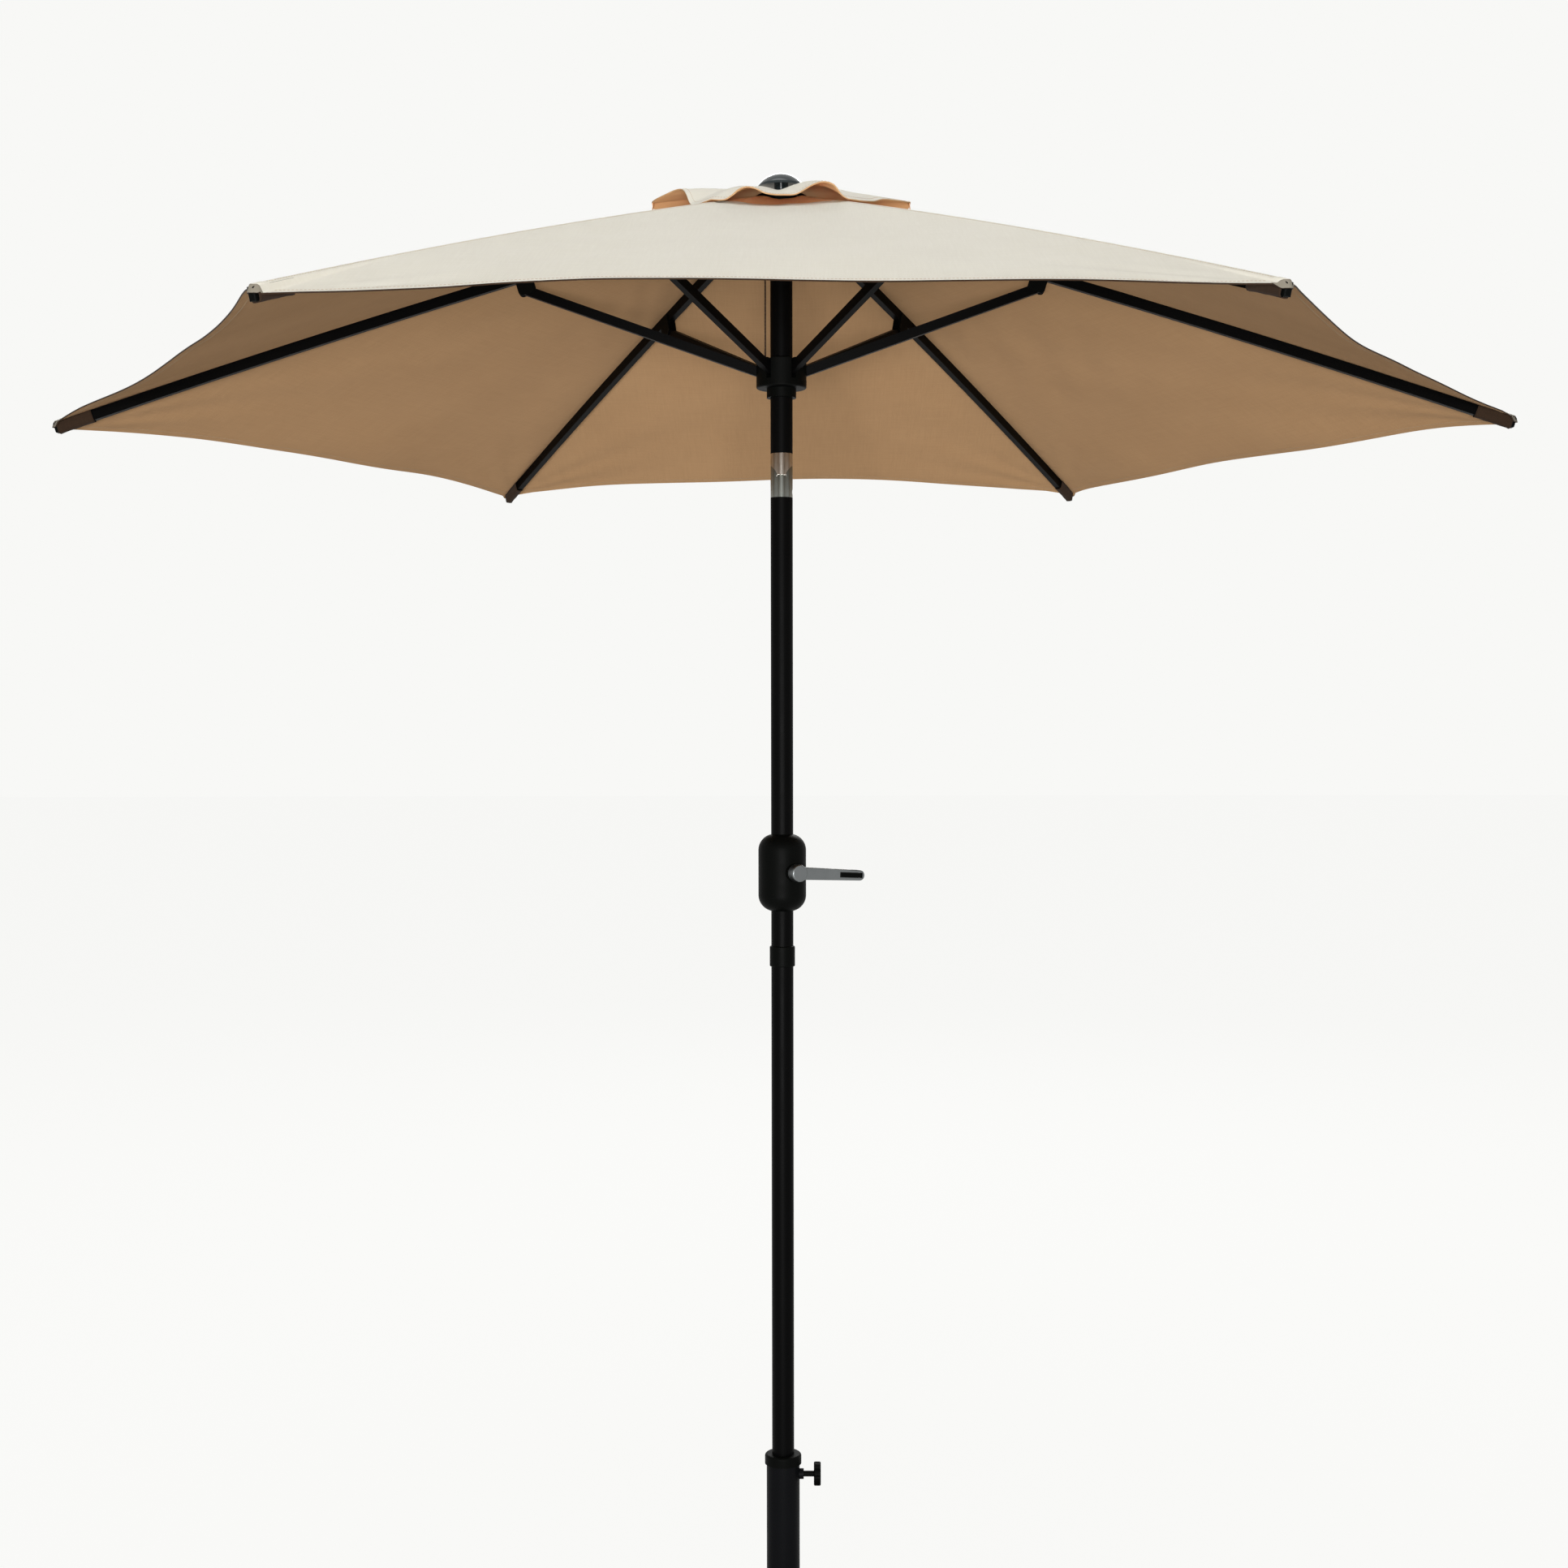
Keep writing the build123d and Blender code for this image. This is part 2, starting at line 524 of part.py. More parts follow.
def make_crank_grip():
    """Bar that folds out on a pin at the arm's end, with a round knuckle there."""
    half = GRIP_WIDTH / 2
    far = half - GRIP_LENGTH
    bar = block(far, 0, GRIP_WIDTH, -half, half)
    bar = fillet(bar.faces().sort_by(Axis.X)[0].edges(), GRIP_END_ROUNDING)
    grip = bar + tangent_rod(half, GRIP_WIDTH, 0, 0)
    grip -= tangent_rod(GRIP_PIN_RADIUS + PIN_GAP, 2 * GRIP_WIDTH, 0, 0)
    return arm_plane() * Pos(ARM_LENGTH, 0, ARM_FACE - half) * grip


def knuckle_zone(half, low, high):
    """The slab between the tongue's faces, across the joint."""
    return Pos(0, 0, low) * Box(2 * half, 4 * POLE_RADIUS, high - low, align=UPWARD)


def cord_passage(low, high):
    return Pos(CORD_X, CORD_Y, 0) * rod(CORD_HOLE_RADIUS, low, high)


def make_tilt_lower_knuckle():
    """Plug in the pole with two round-topped cheeks, and a radial bore for the button."""
    plug = rod(PLUG_RADIUS, KNUCKLE_BOTTOM - KNUCKLE_PLUG_LENGTH, KNUCKLE_BOTTOM)
    head = rod(POLE_RADIUS, KNUCKLE_BOTTOM, TILT_HEIGHT)
    dome = rod(POLE_RADIUS, TILT_HEIGHT, KNUCKLE_TOP)
    dome &= cross_rod(KNUCKLE_ROUND, -POLE_RADIUS, POLE_RADIUS, TILT_HEIGHT)
    body = plug + head + dome
    swing = cross_rod(KNUCKLE_ROUND + RUN_GAP, -CHEEK_START, CHEEK_START, TILT_HEIGHT)
    body -= swing
    body -= knuckle_zone(CHEEK_START, TILT_HEIGHT, KNUCKLE_TOP)
    body -= cross_rod(TILT_PIN_RADIUS + FIT_GAP, -POLE_RADIUS, POLE_RADIUS, TILT_HEIGHT)
    button_floor = POLE_RADIUS - BUTTON_LENGTH - SPRING_ROOM
    body -= cross_rod(BUTTON_RADIUS + RUN_GAP, button_floor, 2 * POLE_RADIUS, TILT_HEIGHT - BUTTON_DROP)
    return body - cord_passage(KNUCKLE_BOTTOM - KNUCKLE_PLUG_LENGTH, KNUCKLE_TOP)


def make_tilt_upper_knuckle():
    """Plug in the mast with a round-ended tongue, cut away at the back so that it can lean."""
    size = 4 * POLE_RADIUS
    start = TILT_HEIGHT + RUN_GAP
    plug = rod(PLUG_RADIUS, KNUCKLE_TOP, KNUCKLE_TOP + KNUCKLE_PLUG_LENGTH)
    body = rod(POLE_RADIUS, start, KNUCKLE_TOP)
    body -= cross_rod(KNUCKLE_ROUND + RUN_GAP, -2 * POLE_RADIUS, 2 * POLE_RADIUS, TILT_HEIGHT)
    web = knuckle_zone(TONGUE_HALF, TILT_HEIGHT, TILT_HEIGHT + KNUCKLE_ROUND + OVERLAP)
    body += web & rod(KNUCKLE_ROUND, TILT_HEIGHT, KNUCKLE_TOP)
    relief = Box(size, size, size, align=(Align.CENTER, Align.MIN, Align.MAX))
    body -= Pos(0, 0, start) * Rot(TILT_LIMIT, 0, 0) * relief
    tongue = cross_rod(KNUCKLE_ROUND, -TONGUE_HALF, TONGUE_HALF, TILT_HEIGHT)
    upper = plug + body + (tongue & rod(POLE_RADIUS, KNUCKLE_BOTTOM, KNUCKLE_TOP))
    upper -= cross_rod(TILT_PIN_RADIUS + PIN_GAP, -POLE_RADIUS, POLE_RADIUS, TILT_HEIGHT)
    return upper - cord_passage(KNUCKLE_BOTTOM, KNUCKLE_TOP + KNUCKLE_PLUG_LENGTH)


def make_tilt_pivot_pin():
    reach = sqrt(POLE_RADIUS ** 2 - TILT_PIN_RADIUS ** 2) - RUN_GAP
    return cross_rod(TILT_PIN_RADIUS, -reach, reach, TILT_HEIGHT)


def button_face():
    """Where the button's flat face stands, just inside the round of the pole."""
    return sqrt(POLE_RADIUS ** 2 - BUTTON_RADIUS ** 2)


def make_tilt_button():
    face = button_face()
    button = cross_rod(BUTTON_RADIUS, face - BUTTON_LENGTH, face, TILT_HEIGHT - BUTTON_DROP)
    return chamfer(button.edges().sort_by(Axis.X)[-1], BUTTON_CHAMFER)


def make_tilt_button_spring():
    """Coil spring between the bore's floor and the button."""
    low = POLE_RADIUS - BUTTON_LENGTH - SPRING_ROOM + SPRING_WIRE / 2 + RUN_GAP
    high = button_face() - BUTTON_LENGTH - SPRING_WIRE / 2 - RUN_GAP
    coil = Helix((high - low) / SPRING_TURNS, high - low, SPRING_RADIUS)
    section = Plane(origin=coil @ 0, z_dir=coil % 0) * Circle(SPRING_WIRE / 2)
    return Pos(low, 0, TILT_HEIGHT - BUTTON_DROP) * Rot(0, 90, 0) * sweep(section, coil)


def pulley_pocket():
    """Room for the pulley and the cord on it, open below, through the hub and the mast's rim."""
    reach = CORD_TURN_RADIUS + CORD_RADIUS + 2 * RUN_GAP
    width = PULLEY_WIDTH + 2 * RUN_GAP
    start = PULLEY_CENTRE_RADIUS - reach
    end = PULLEY_CENTRE_RADIUS + reach
    pocket = tangent_rod(reach, width, PULLEY_CENTRE_RADIUS, PULLEY_HEIGHT)
    pocket += block(start, end, width, PULLEY_HEIGHT - reach, PULLEY_HEIGHT)
    return Rot(0, 0, PULLEY_AZIMUTH) * pocket


def make_mast_tube():
    return ring(POLE_RADIUS, POLE_BORE, KNUCKLE_TOP, HUB_BOTTOM) - pulley_pocket()


def hinge_slots(low, high, reach):
    """Six radial slots that the rib or strut ends swing in."""
    return around(block(SLOT_FLOOR_RADIUS, reach, SLOT_WIDTH, low, high))


def hinge_pins(radius, height):
    return around(tangent_rod(radius, PIVOT_PIN_LENGTH, PIVOT_RADIUS, height))


def make_top_hub():
    """Slotted hub on the mast, with a spigot inside it and a pocket for the cord's pulley."""
    roof = HUB_TOP - HUB_ROOF
    hub = rod(HUB_RADIUS, HUB_BOTTOM, HUB_TOP)
    hub = fillet(hub.edges().sort_by(Axis.Z)[-1], HUB_ROOF / 3)
    for slot in hinge_slots(HUB_BOTTOM - OVERLAP, roof, 2 * HUB_RADIUS):
        hub -= slot
    for hole in hinge_pins(PIVOT_PIN_RADIUS + FIT_GAP, HUB_PIVOT_HEIGHT):
        hub -= hole
    spigot_low = HUB_BOTTOM - HUB_SPIGOT_LENGTH
    hub += ring(PLUG_RADIUS, PLUG_RADIUS - HUB_SPIGOT_WALL, spigot_low, HUB_BOTTOM)
    hub -= pulley_pocket()
    pin = tangent_rod(PIVOT_PIN_RADIUS, 2 * PULLEY_WIDTH, PULLEY_CENTRE_RADIUS, PULLEY_HEIGHT)
    hub += Rot(0, 0, PULLEY_AZIMUTH) * pin
    stud_floor = HUB_TOP - FINIAL_STUD_LENGTH - OVERLAP
    return hub - rod(FINIAL_STUD_RADIUS + FIT_GAP, stud_floor, HUB_TOP + OVERLAP)


def make_hub_pulley():
    """Grooved wheel that turns the lift cord over the top of the mast."""
    half = PULLEY_WIDTH / 2
    wheel = Cylinder(PULLEY_RADIUS, PULLEY_WIDTH)
    groove_half = CORD_RADIUS + 2 * PIN_GAP
    groove = Cylinder(2 * PULLEY_RADIUS, 2 * groove_half) - Cylinder(PULLEY_GROOVE_RADIUS, 4 * half)
    wheel = wheel - groove - Cylinder(PIVOT_PIN_RADIUS + PIN_GAP, 4 * half)
    place = Pos(PULLEY_CENTRE_RADIUS, 0, PULLEY_HEIGHT) * Rot(90, 0, 0)
    return Rot(0, 0, PULLEY_AZIMUTH) * place * wheel


def make_finial():
    """Low dome on a neck, screwed into the hub."""
    lip = FINIAL_BOTTOM + FINIAL_LIP
    rise = FINIAL_HEIGHT - FINIAL_LIP
    ball = (FINIAL_RADIUS ** 2 + rise ** 2) / (2 * rise)
    dome = Pos(0, 0, lip + rise - ball) * Sphere(ball) & rod(FINIAL_RADIUS, lip, lip + rise)
    stud = rod(FINIAL_STUD_RADIUS, HUB_TOP - FINIAL_STUD_LENGTH, HUB_TOP)
    neck = rod(FINIAL_NECK_RADIUS, HUB_TOP, FINIAL_BOTTOM)
    return dome + rod(FINIAL_RADIUS, FINIAL_BOTTOM, lip) + neck + stud


def make_runner():
    """Sliding ring with six slotted ears for the struts, and a guide sleeve below."""
    core = SLOT_FLOOR_RADIUS
    sleeve_low = RUNNER_BOTTOM - RUNNER_SLEEVE_LENGTH
    runner = rod(RUNNER_RADIUS, RUNNER_BOTTOM, RUNNER_TOP)
    runner = fillet(runner.edges().filter_by(GeomType.CIRCLE), RUNNER_WALL / 2)
    slot_floor = RUNNER_PIVOT_HEIGHT - EYE_RADIUS - RUNNER_WALL
    for slot in hinge_slots(slot_floor, RUNNER_TOP + OVERLAP, 2 * RUNNER_RADIUS):
        runner -= slot
    for hole in hinge_pins(PIVOT_PIN_RADIUS + FIT_GAP, RUNNER_PIVOT_HEIGHT):
        runner -= hole
    runner += rod(core, sleeve_low, RUNNER_TOP)
    runner -= rod(RUNNER_BORE, sleeve_low - OVERLAP, RUNNER_TOP + OVERLAP)
    knot_hole = Pos(PULLEY_CENTRE_RADIUS + CORD_TURN_RADIUS, 0, 0)
    knot_hole *= rod(CORD_HOLE_RADIUS, RUNNER_BOTTOM - OVERLAP, RUNNER_TOP + OVERLAP)
    return runner - Rot(0, 0, PULLEY_AZIMUTH) * knot_hole


def bowed_bar(start, end, width, low, high):
    """A bar along the rib's centreline, between two heights above it."""

    def curve(height):
        return ThreePointArc(*[(out, rib_rise(out) + height) for out in (start, (start + end) / 2, end)])

    under = curve(low)
    over = curve(high)
    face = make_face([under, Line(under @ 1, over @ 1), over, Line(over @ 0, under @ 0)])
    return extrude(Plane.XZ * face, width / 2, both=True)


def make_rib():
    """Rectangular steel tube from the hub end to the tip cap, bowed up by the cloth's pull."""
    end = RIB_LENGTH - RIB_CAP_LENGTH
    outer = bowed_bar(RIB_START, end, RIB_WIDTH, -RIB_HEIGHT / 2, RIB_HEIGHT / 2)
    half = RIB_HEIGHT / 2 - RIB_WALL
    return outer - bowed_bar(RIB_START, end, RIB_WIDTH - 2 * RIB_WALL, -half, half)


def make_rib_fittings():
    """Hub-end eye, strut saddle with its pin, and tip cap, all fixed on one rib."""
    inner_width = RIB_WIDTH - 2 * RIB_WALL - 2 * FIT_GAP
    inner_half = RIB_HEIGHT / 2 - RIB_WALL - FIT_GAP
    eye = tangent_rod(EYE_RADIUS, TONGUE_WIDTH, 0, 0)
    eye += bowed_bar(0, RIB_START, TONGUE_WIDTH, -EYE_RADIUS, EYE_RADIUS)
    eye += bowed_bar(RIB_START, RIB_START + PLUG_INTO_RIB, inner_width, -inner_half, inner_half)
    eye -= tangent_rod(PIVOT_PIN_RADIUS + PIN_GAP, RIB_WIDTH, 0, 0)

    saddle_width = RIB_WIDTH + 2 * SADDLE_WALL
    saddle_low = -BRACKET_DROP - SADDLE_BELOW_PIN
    saddle_high = SADDLE_RISE + RIB_HEIGHT / 4
    start = STRUT_STATION - SADDLE_LENGTH / 2
    end = STRUT_STATION + SADDLE_LENGTH / 2
    saddle = block(start, end, saddle_width, saddle_low, saddle_high)
    saddle = fillet(saddle.edges().filter_by(Axis.Y).group_by(Axis.Z)[0], SADDLE_BELOW_PIN)
    saddle -= block(start - OVERLAP, end + OVERLAP, RIB_WIDTH, saddle_low - OVERLAP, saddle_high + OVERLAP)
    saddle += tangent_rod(PIVOT_PIN_RADIUS, saddle_width, STRUT_STATION, -BRACKET_DROP)

    cap_start = RIB_LENGTH - RIB_CAP_LENGTH
    cap = block(cap_start, RIB_LENGTH, RIB_WIDTH, -RIB_HEIGHT / 2, RIB_HEIGHT / 2)
    cap = fillet(cap.faces().sort_by(Axis.X)[-1].edges(), RIB_CAP_LENGTH / 3)
    cap = Pos(0, 0, rib_rise(cap_start)) * cap
    cap += bowed_bar(cap_start - PLUG_INTO_RIB / 2, cap_start, inner_width, -inner_half, inner_half)
    return Compound([eye, *saddle.solids(), cap])


def make_strut():
    """Tube with a round upper end in the saddle and a narrow eye in the runner."""
    half = STRUT_HEIGHT / 2
    tube_end = LINK_LENGTH - STRUT_TONGUE_LENGTH
    strut = tangent_rod(half, STRUT_WIDTH, 0, 0) + block(0, tube_end, STRUT_WIDTH, -half, half)
    strut += block(tube_end, LINK_LENGTH, TONGUE_WIDTH, -half, half)
    strut += tangent_rod(half, TONGUE_WIDTH, LINK_LENGTH, 0)
    hollow = STRUT_WIDTH - 2 * STRUT_WALL
    strut -= block(2 * half, tube_end - PLUG_INTO_RIB, hollow, STRUT_WALL - half, half - STRUT_WALL)
    for out in (0, LINK_LENGTH):
        strut -= tangent_rod(PIVOT_PIN_RADIUS + PIN_GAP, 2 * STRUT_WIDTH, out, 0)
    return strut


def at_strut(shape, number):
    """Carries a strut from its own frame, where +X runs down to the runner, to its place."""
    reach = PIVOT_RADIUS + LINK_LENGTH * cos(radians(LINK_SLOPE))
    height = HUB_PIVOT_HEIGHT - LINK_LENGTH * sin(radians(LINK_SLOPE))
    place = Pos(reach, 0, height) * Rot(0, 180 - LINK_SLOPE, 0)
    return Rot(0, 0, 360 / RIB_COUNT * number) * place * shape


def ridge_point(out):
    """Radius and height of the cloth's underside over a rib, at a distance along the rib."""
    above = rib_rise(out) + RIDGE_LIFT
    radius = PIVOT_RADIUS + out * cos(RIB_ANGLE) + above * sin(RIB_ANGLE)
    return radius, HUB_PIVOT_HEIGHT - out * sin(RIB_ANGLE) + above * cos(RIB_ANGLE)


def ridge_station(radius):
    """Distance along the rib at which the cloth over it has a radius, near enough for a cut."""
    return (radius - PIVOT_RADIUS - RIDGE_LIFT * sin(RIB_ANGLE)) / cos(RIB_ANGLE)


def make_canopy_gore():
    """The cloth over one rib, out to the middle of each panel beside it, and the rib's pocket."""
    middle = 180 / RIB_COUNT
    shrink = cos(radians(middle))
    tip_radius = TIP_RADIUS - TIP_BARE
    first = ridge_station(VENT_HOLE_RADIUS) - PLUG_INTO_RIB / 2
    last = RIB_LENGTH
    ridge = [ridge_point(out) for out in (first, (first + last) / 2, last)]
    under = ThreePointArc(*[(radius * shrink, height) for radius, height in ridge])
    over = Pos(0, CLOTH) * under
    strip = make_face([under, Line(under @ 1, over @ 1), over, Line(over @ 0, under @ 0)])
    sheet = Rot(0, 0, middle) * extrude(Plane.XZ * strip, tip_radius, both=True)

    def plan_point(radius, azimuth):
        return Vector(radius * cos(radians(azimuth)), radius * sin(radians(azimuth)))

    shy = Vector(-sin(radians(middle)), cos(radians(middle))) * (RUN_GAP / 2)
    tip = plan_point(tip_radius, 0)
    far_tip = plan_point(tip_radius, 2 * middle)
    hem_middle = plan_point(tip_radius * shrink - HEM_SCALLOP, middle) - shy
    inner_middle = plan_point(VENT_HOLE_RADIUS * shrink, middle) - shy
    inner_ridge = plan_point(VENT_HOLE_RADIUS, 0)
    hem = ThreePointArc(tip, hem_middle, far_tip)
    outline = [
        hem.trim(0, hem.param_at_point(hem_middle)),
        Line(hem_middle, inner_middle),
        Line(inner_middle, inner_ridge),
        Line(inner_ridge, tip),
    ]
    half = sheet & extrude(make_face(outline), 2 * HUB_PIVOT_HEIGHT)
    gore = half + mirror(half, Plane.XZ)

    start = RIB_LENGTH - TIP_BARE - POCKET_LENGTH
    end = RIB_LENGTH - TIP_BARE
    inner = RIB_WIDTH + 2 * RUN_GAP
    outer = inner + 2 * POCKET_WALL
    low = -RIB_HEIGHT / 2 - RUN_GAP
    pocket = bowed_bar(start, end, outer, low - POCKET_WALL, RIB_HEIGHT / 2)
    pocket -= bowed_bar(start - OVERLAP, end + OVERLAP, inner, low, RIB_HEIGHT)
    return gore, pocket


def make_vent_gore():
    """The vent cap's cloth over one rib: on the hub, down to the rib, and arched up between ribs."""
    middle = 180 / RIB_COUNT
    inner = FINIAL_NECK_RADIUS + RUN_GAP
    top = HUB_TOP + RUN_GAP
    corner = ridge_point(ridge_station(VENT_CORNER_RADIUS))
    corner_height = corner[1] + CLOTH + RUN_GAP
    shy = degrees(RUN_GAP / 2 / VENT_CORNER_RADIUS)

    def section(share):
        swell = (1 - cos(radians(180 * share))) / 2
        radius = corner[0] + (VENT_MIDDLE_RADIUS - corner[0]) * swell
        height = corner_height + VENT_ARCH * swell
        outline = Polyline(
            (inner, top),
            (HUB_RADIUS, top),
            (radius, height),
            (radius, height + CLOTH),
            (HUB_RADIUS, top + CLOTH),
            (inner, top + CLOTH),
            close=True,
        )
        return Rot(0, 0, (middle - shy) * share) * make_face(Plane.XZ * outline)

    return loft([section(share) for share in (-1, -0.5, 0, 0.5, 1)])


def make_lift_cord_lower():
    """From the spool straight up to the tilt joint's pivot."""
    return Pos(CORD_X, CORD_Y, 0) * rod(CORD_RADIUS, CRANK_HEIGHT, TILT_HEIGHT)


def make_lift_cord_upper():
    """From the tilt joint up the mast, over the pulley, and down outside to the runner."""
    away = Vector(cos(radians(PULLEY_AZIMUTH)), sin(radians(PULLEY_AZIMUTH)), 0)
    rise = Vector(0, 0, PULLEY_HEIGHT) + away * (PULLEY_CENTRE_RADIUS - CORD_TURN_RADIUS)
    over = Vector(0, 0, PULLEY_HEIGHT + CORD_TURN_RADIUS) + away * PULLEY_CENTRE_RADIUS
    fall = Vector(0, 0, PULLEY_HEIGHT) + away * (PULLEY_CENTRE_RADIUS + CORD_TURN_RADIUS)
    leave = KNUCKLE_TOP + KNUCKLE_PLUG_LENGTH
    enter = HUB_BOTTOM - HUB_SPIGOT_LENGTH
    start = Vector(CORD_X, CORD_Y, TILT_HEIGHT)
    climb = FilletPolyline(
        start,
        Vector(CORD_X, CORD_Y, leave),
        Vector(rise.X, rise.Y, enter),
        rise,
        radius=[CORD_BEND_RADIUS, CORD_BEND_RADIUS],
    )
    turn = ThreePointArc(rise, over, fall)
    end = Vector(fall.X, fall.Y, RUNNER_TOP - RUNNER_WALL)
    path = Wire([*climb.edges(), turn, Line(fall, end)])
    section = Plane(origin=start, z_dir=(0, 0, 1)) * Circle(CORD_RADIUS)
    return sweep(section, path)


housing_front, housing_back = make_crank_housing()
pieces = {
    "base_plate": make_base_plate(),
    "base_feet": make_base_feet(),
    "base_bolt": make_base_bolt(),
    "base_tube": make_base_tube(),
    "base_tube_cap": make_base_tube_cap(),
    "base_clamp_knob": make_base_clamp_knob(),
    "lower_pole": make_lower_pole(),
    "pole_foot": make_pole_foot(),
    "pole_collar": make_pole_collar(),
    "middle_pole": make_middle_pole(),
    "crank_housing_front": housing_front,
    "crank_housing_back": housing_back,
    "crank_housing_screws": make_crank_housing_screws(),
    "crank_spool": make_crank_spool(),
    "crank_arm": make_crank_arm(),
    "crank_grip": make_crank_grip(),
    "tilt_lower_knuckle": make_tilt_lower_knuckle(),
    "tilt_upper_knuckle": make_tilt_upper_knuckle(),
    "tilt_pivot_pin": make_tilt_pivot_pin(),
    "tilt_button": make_tilt_button(),
    "tilt_button_spring": make_tilt_button_spring(),
    "mast_tube": make_mast_tube(),
    "top_hub": make_top_hub(),
    "hub_pins": Compound(hinge_pins(PIVOT_PIN_RADIUS, HUB_PIVOT_HEIGHT)),
    "hub_pulley": make_hub_pulley(),
    "finial": make_finial(),
    "runner": make_runner(),
    "runner_pins": Compound(hinge_pins(PIVOT_PIN_RADIUS, RUNNER_PIVOT_HEIGHT)),
    "lift_cord_lower": make_lift_cord_lower(),
    "lift_cord_upper": make_lift_cord_upper(),
}

rib = make_rib()
rib_fittings = make_rib_fittings()
strut = make_strut()
gore, pocket = make_canopy_gore()
vent_gore = make_vent_gore()
for k in range(RIB_COUNT):
    turn = Rot(0, 0, 360 / RIB_COUNT * k)
    pieces[f"rib_{k + 1}"] = at_rib(rib, k)
    pieces[f"rib_fittings_{k + 1}"] = at_rib(rib_fittings, k)
    pieces[f"strut_{k + 1}"] = at_strut(strut, k)
    pieces[f"canopy_gore_{k + 1}"] = Compound([turn * gore, at_rib(pocket, k)])
    pieces[f"vent_gore_{k + 1}"] = turn * vent_gore

os.makedirs("parts", exist_ok=True)
for name, shape in pieces.items():
    export_step(shape, f"parts/{name}.step")
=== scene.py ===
import json
import math

import bpy
import numpy as np
from mathutils import Matrix, Vector, noise


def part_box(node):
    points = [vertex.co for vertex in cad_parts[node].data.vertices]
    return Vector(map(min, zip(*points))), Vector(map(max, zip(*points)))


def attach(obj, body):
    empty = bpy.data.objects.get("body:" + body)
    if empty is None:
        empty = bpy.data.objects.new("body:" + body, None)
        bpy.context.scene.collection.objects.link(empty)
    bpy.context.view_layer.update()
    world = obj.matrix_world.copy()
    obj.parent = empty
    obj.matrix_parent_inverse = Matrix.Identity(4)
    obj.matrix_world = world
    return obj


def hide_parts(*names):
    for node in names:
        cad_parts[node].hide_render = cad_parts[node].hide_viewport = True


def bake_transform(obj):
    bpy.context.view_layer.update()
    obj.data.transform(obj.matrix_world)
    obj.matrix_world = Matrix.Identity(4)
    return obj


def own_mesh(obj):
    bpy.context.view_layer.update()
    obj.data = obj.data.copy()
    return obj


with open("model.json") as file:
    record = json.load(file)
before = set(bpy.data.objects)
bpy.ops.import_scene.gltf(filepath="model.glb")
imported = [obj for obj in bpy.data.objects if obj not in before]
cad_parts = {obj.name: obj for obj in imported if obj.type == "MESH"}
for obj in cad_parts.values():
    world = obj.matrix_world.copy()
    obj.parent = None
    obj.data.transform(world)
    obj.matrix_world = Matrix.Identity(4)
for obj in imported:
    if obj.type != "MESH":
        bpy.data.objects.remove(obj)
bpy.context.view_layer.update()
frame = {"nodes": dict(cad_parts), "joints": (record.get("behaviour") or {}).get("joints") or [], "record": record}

# Metres, in the frame's own axes. Rib 1 points along +X, and a panel has the number of the rib before it.
RIBS = 6
STEP = math.tau / RIBS
JOINTS = {joint["name"]: joint for joint in frame["joints"]}
PIVOT = Vector(JOINTS["canopy_fold"]["pos_m"])
RIB_SLOPE = math.radians(17.1)
RIB_WIDTH = 0.012
RIB_HEIGHT = 0.018
RIB_BOW = 0.009
TIP_RADIUS = 1.250
RIB_LENGTH = (TIP_RADIUS - PIVOT.x) / math.cos(RIB_SLOPE)
RIB_ARC = (RIB_LENGTH ** 2 / 4 + RIB_BOW ** 2) / (2 * RIB_BOW)

# Canopy cloth
CLOTH = 0.0011
CLOTH_GAP = 0.00045
WEAVE_PERIOD = 0.0016
TIP_BARE = 0.006
TIP_OVER = 0.003
TIP_FLAP = 0.009
FLAP_HALF = 0.0225
VENT_HOLE = 0.070
CLOTH_SPAN = TIP_RADIUS + TIP_OVER - VENT_HOLE
# Out to this radius the canopy's outside takes the vent's cloth, as painted shade under the vent cap
VENT_SHADE_RADIUS = 0.186
HEM_SCALLOP = 0.068
PANEL_SAG = 0.010
HEM_BAND = 0.020
EDGE_BAND = 0.012
HEM_EXTRA = 0.0005
SEAM_HALF = 0.008
SEAM_EXTRA = 0.0006
STRIP_HALF = 0.010
STITCH_PITCH = 0.0052
STITCH_SIZE = (0.0036, 0.0007, 0.0005)
STITCH_RAISE = 0.15
STITCH_ASIDE = 0.0062
STITCH_LINE = 0.8
SEAM_RUN_START = 0.02
SEAM_RUN_SPAN = 0.965
HEM_RUN_END = 0.015
FLAT_APART = 1.7
SAG_START = 0.12
SAG_SPAN = 0.80

# The hem's hang below the taut cloth, and the flap that folds over a rib's tip
HANG_REACH = 0.22
HANG_DEPTH = 0.15
HANG_SPREAD = 0.5
HANG_FADE = (0.0085, 0.015)
FLAP_FADE = (0.010, 0.028)
FLAP_TURN = 0.0006

# The canopy's grid
SEAM_STEP = 0.0006
NEAR_COLUMNS = (0.0115, 0.013, 0.015, 0.022)
EVEN_COLUMNS = 22
COLUMN_POWER = 0.92
FIRST_ROW = 0.003
EDGE_STEP = 0.001
VENT_SHADE_ROWS = 6
PANEL_ROWS = 56
ROW_POWER = 1.25
TIP_ROWS = 3
TOLERANCE = 1e-6

# A sheet's faces, in the order of its cloths
ABOVE, BELOW, EDGE, UNDER_VENT_SHADE, AT_TIP = range(5)

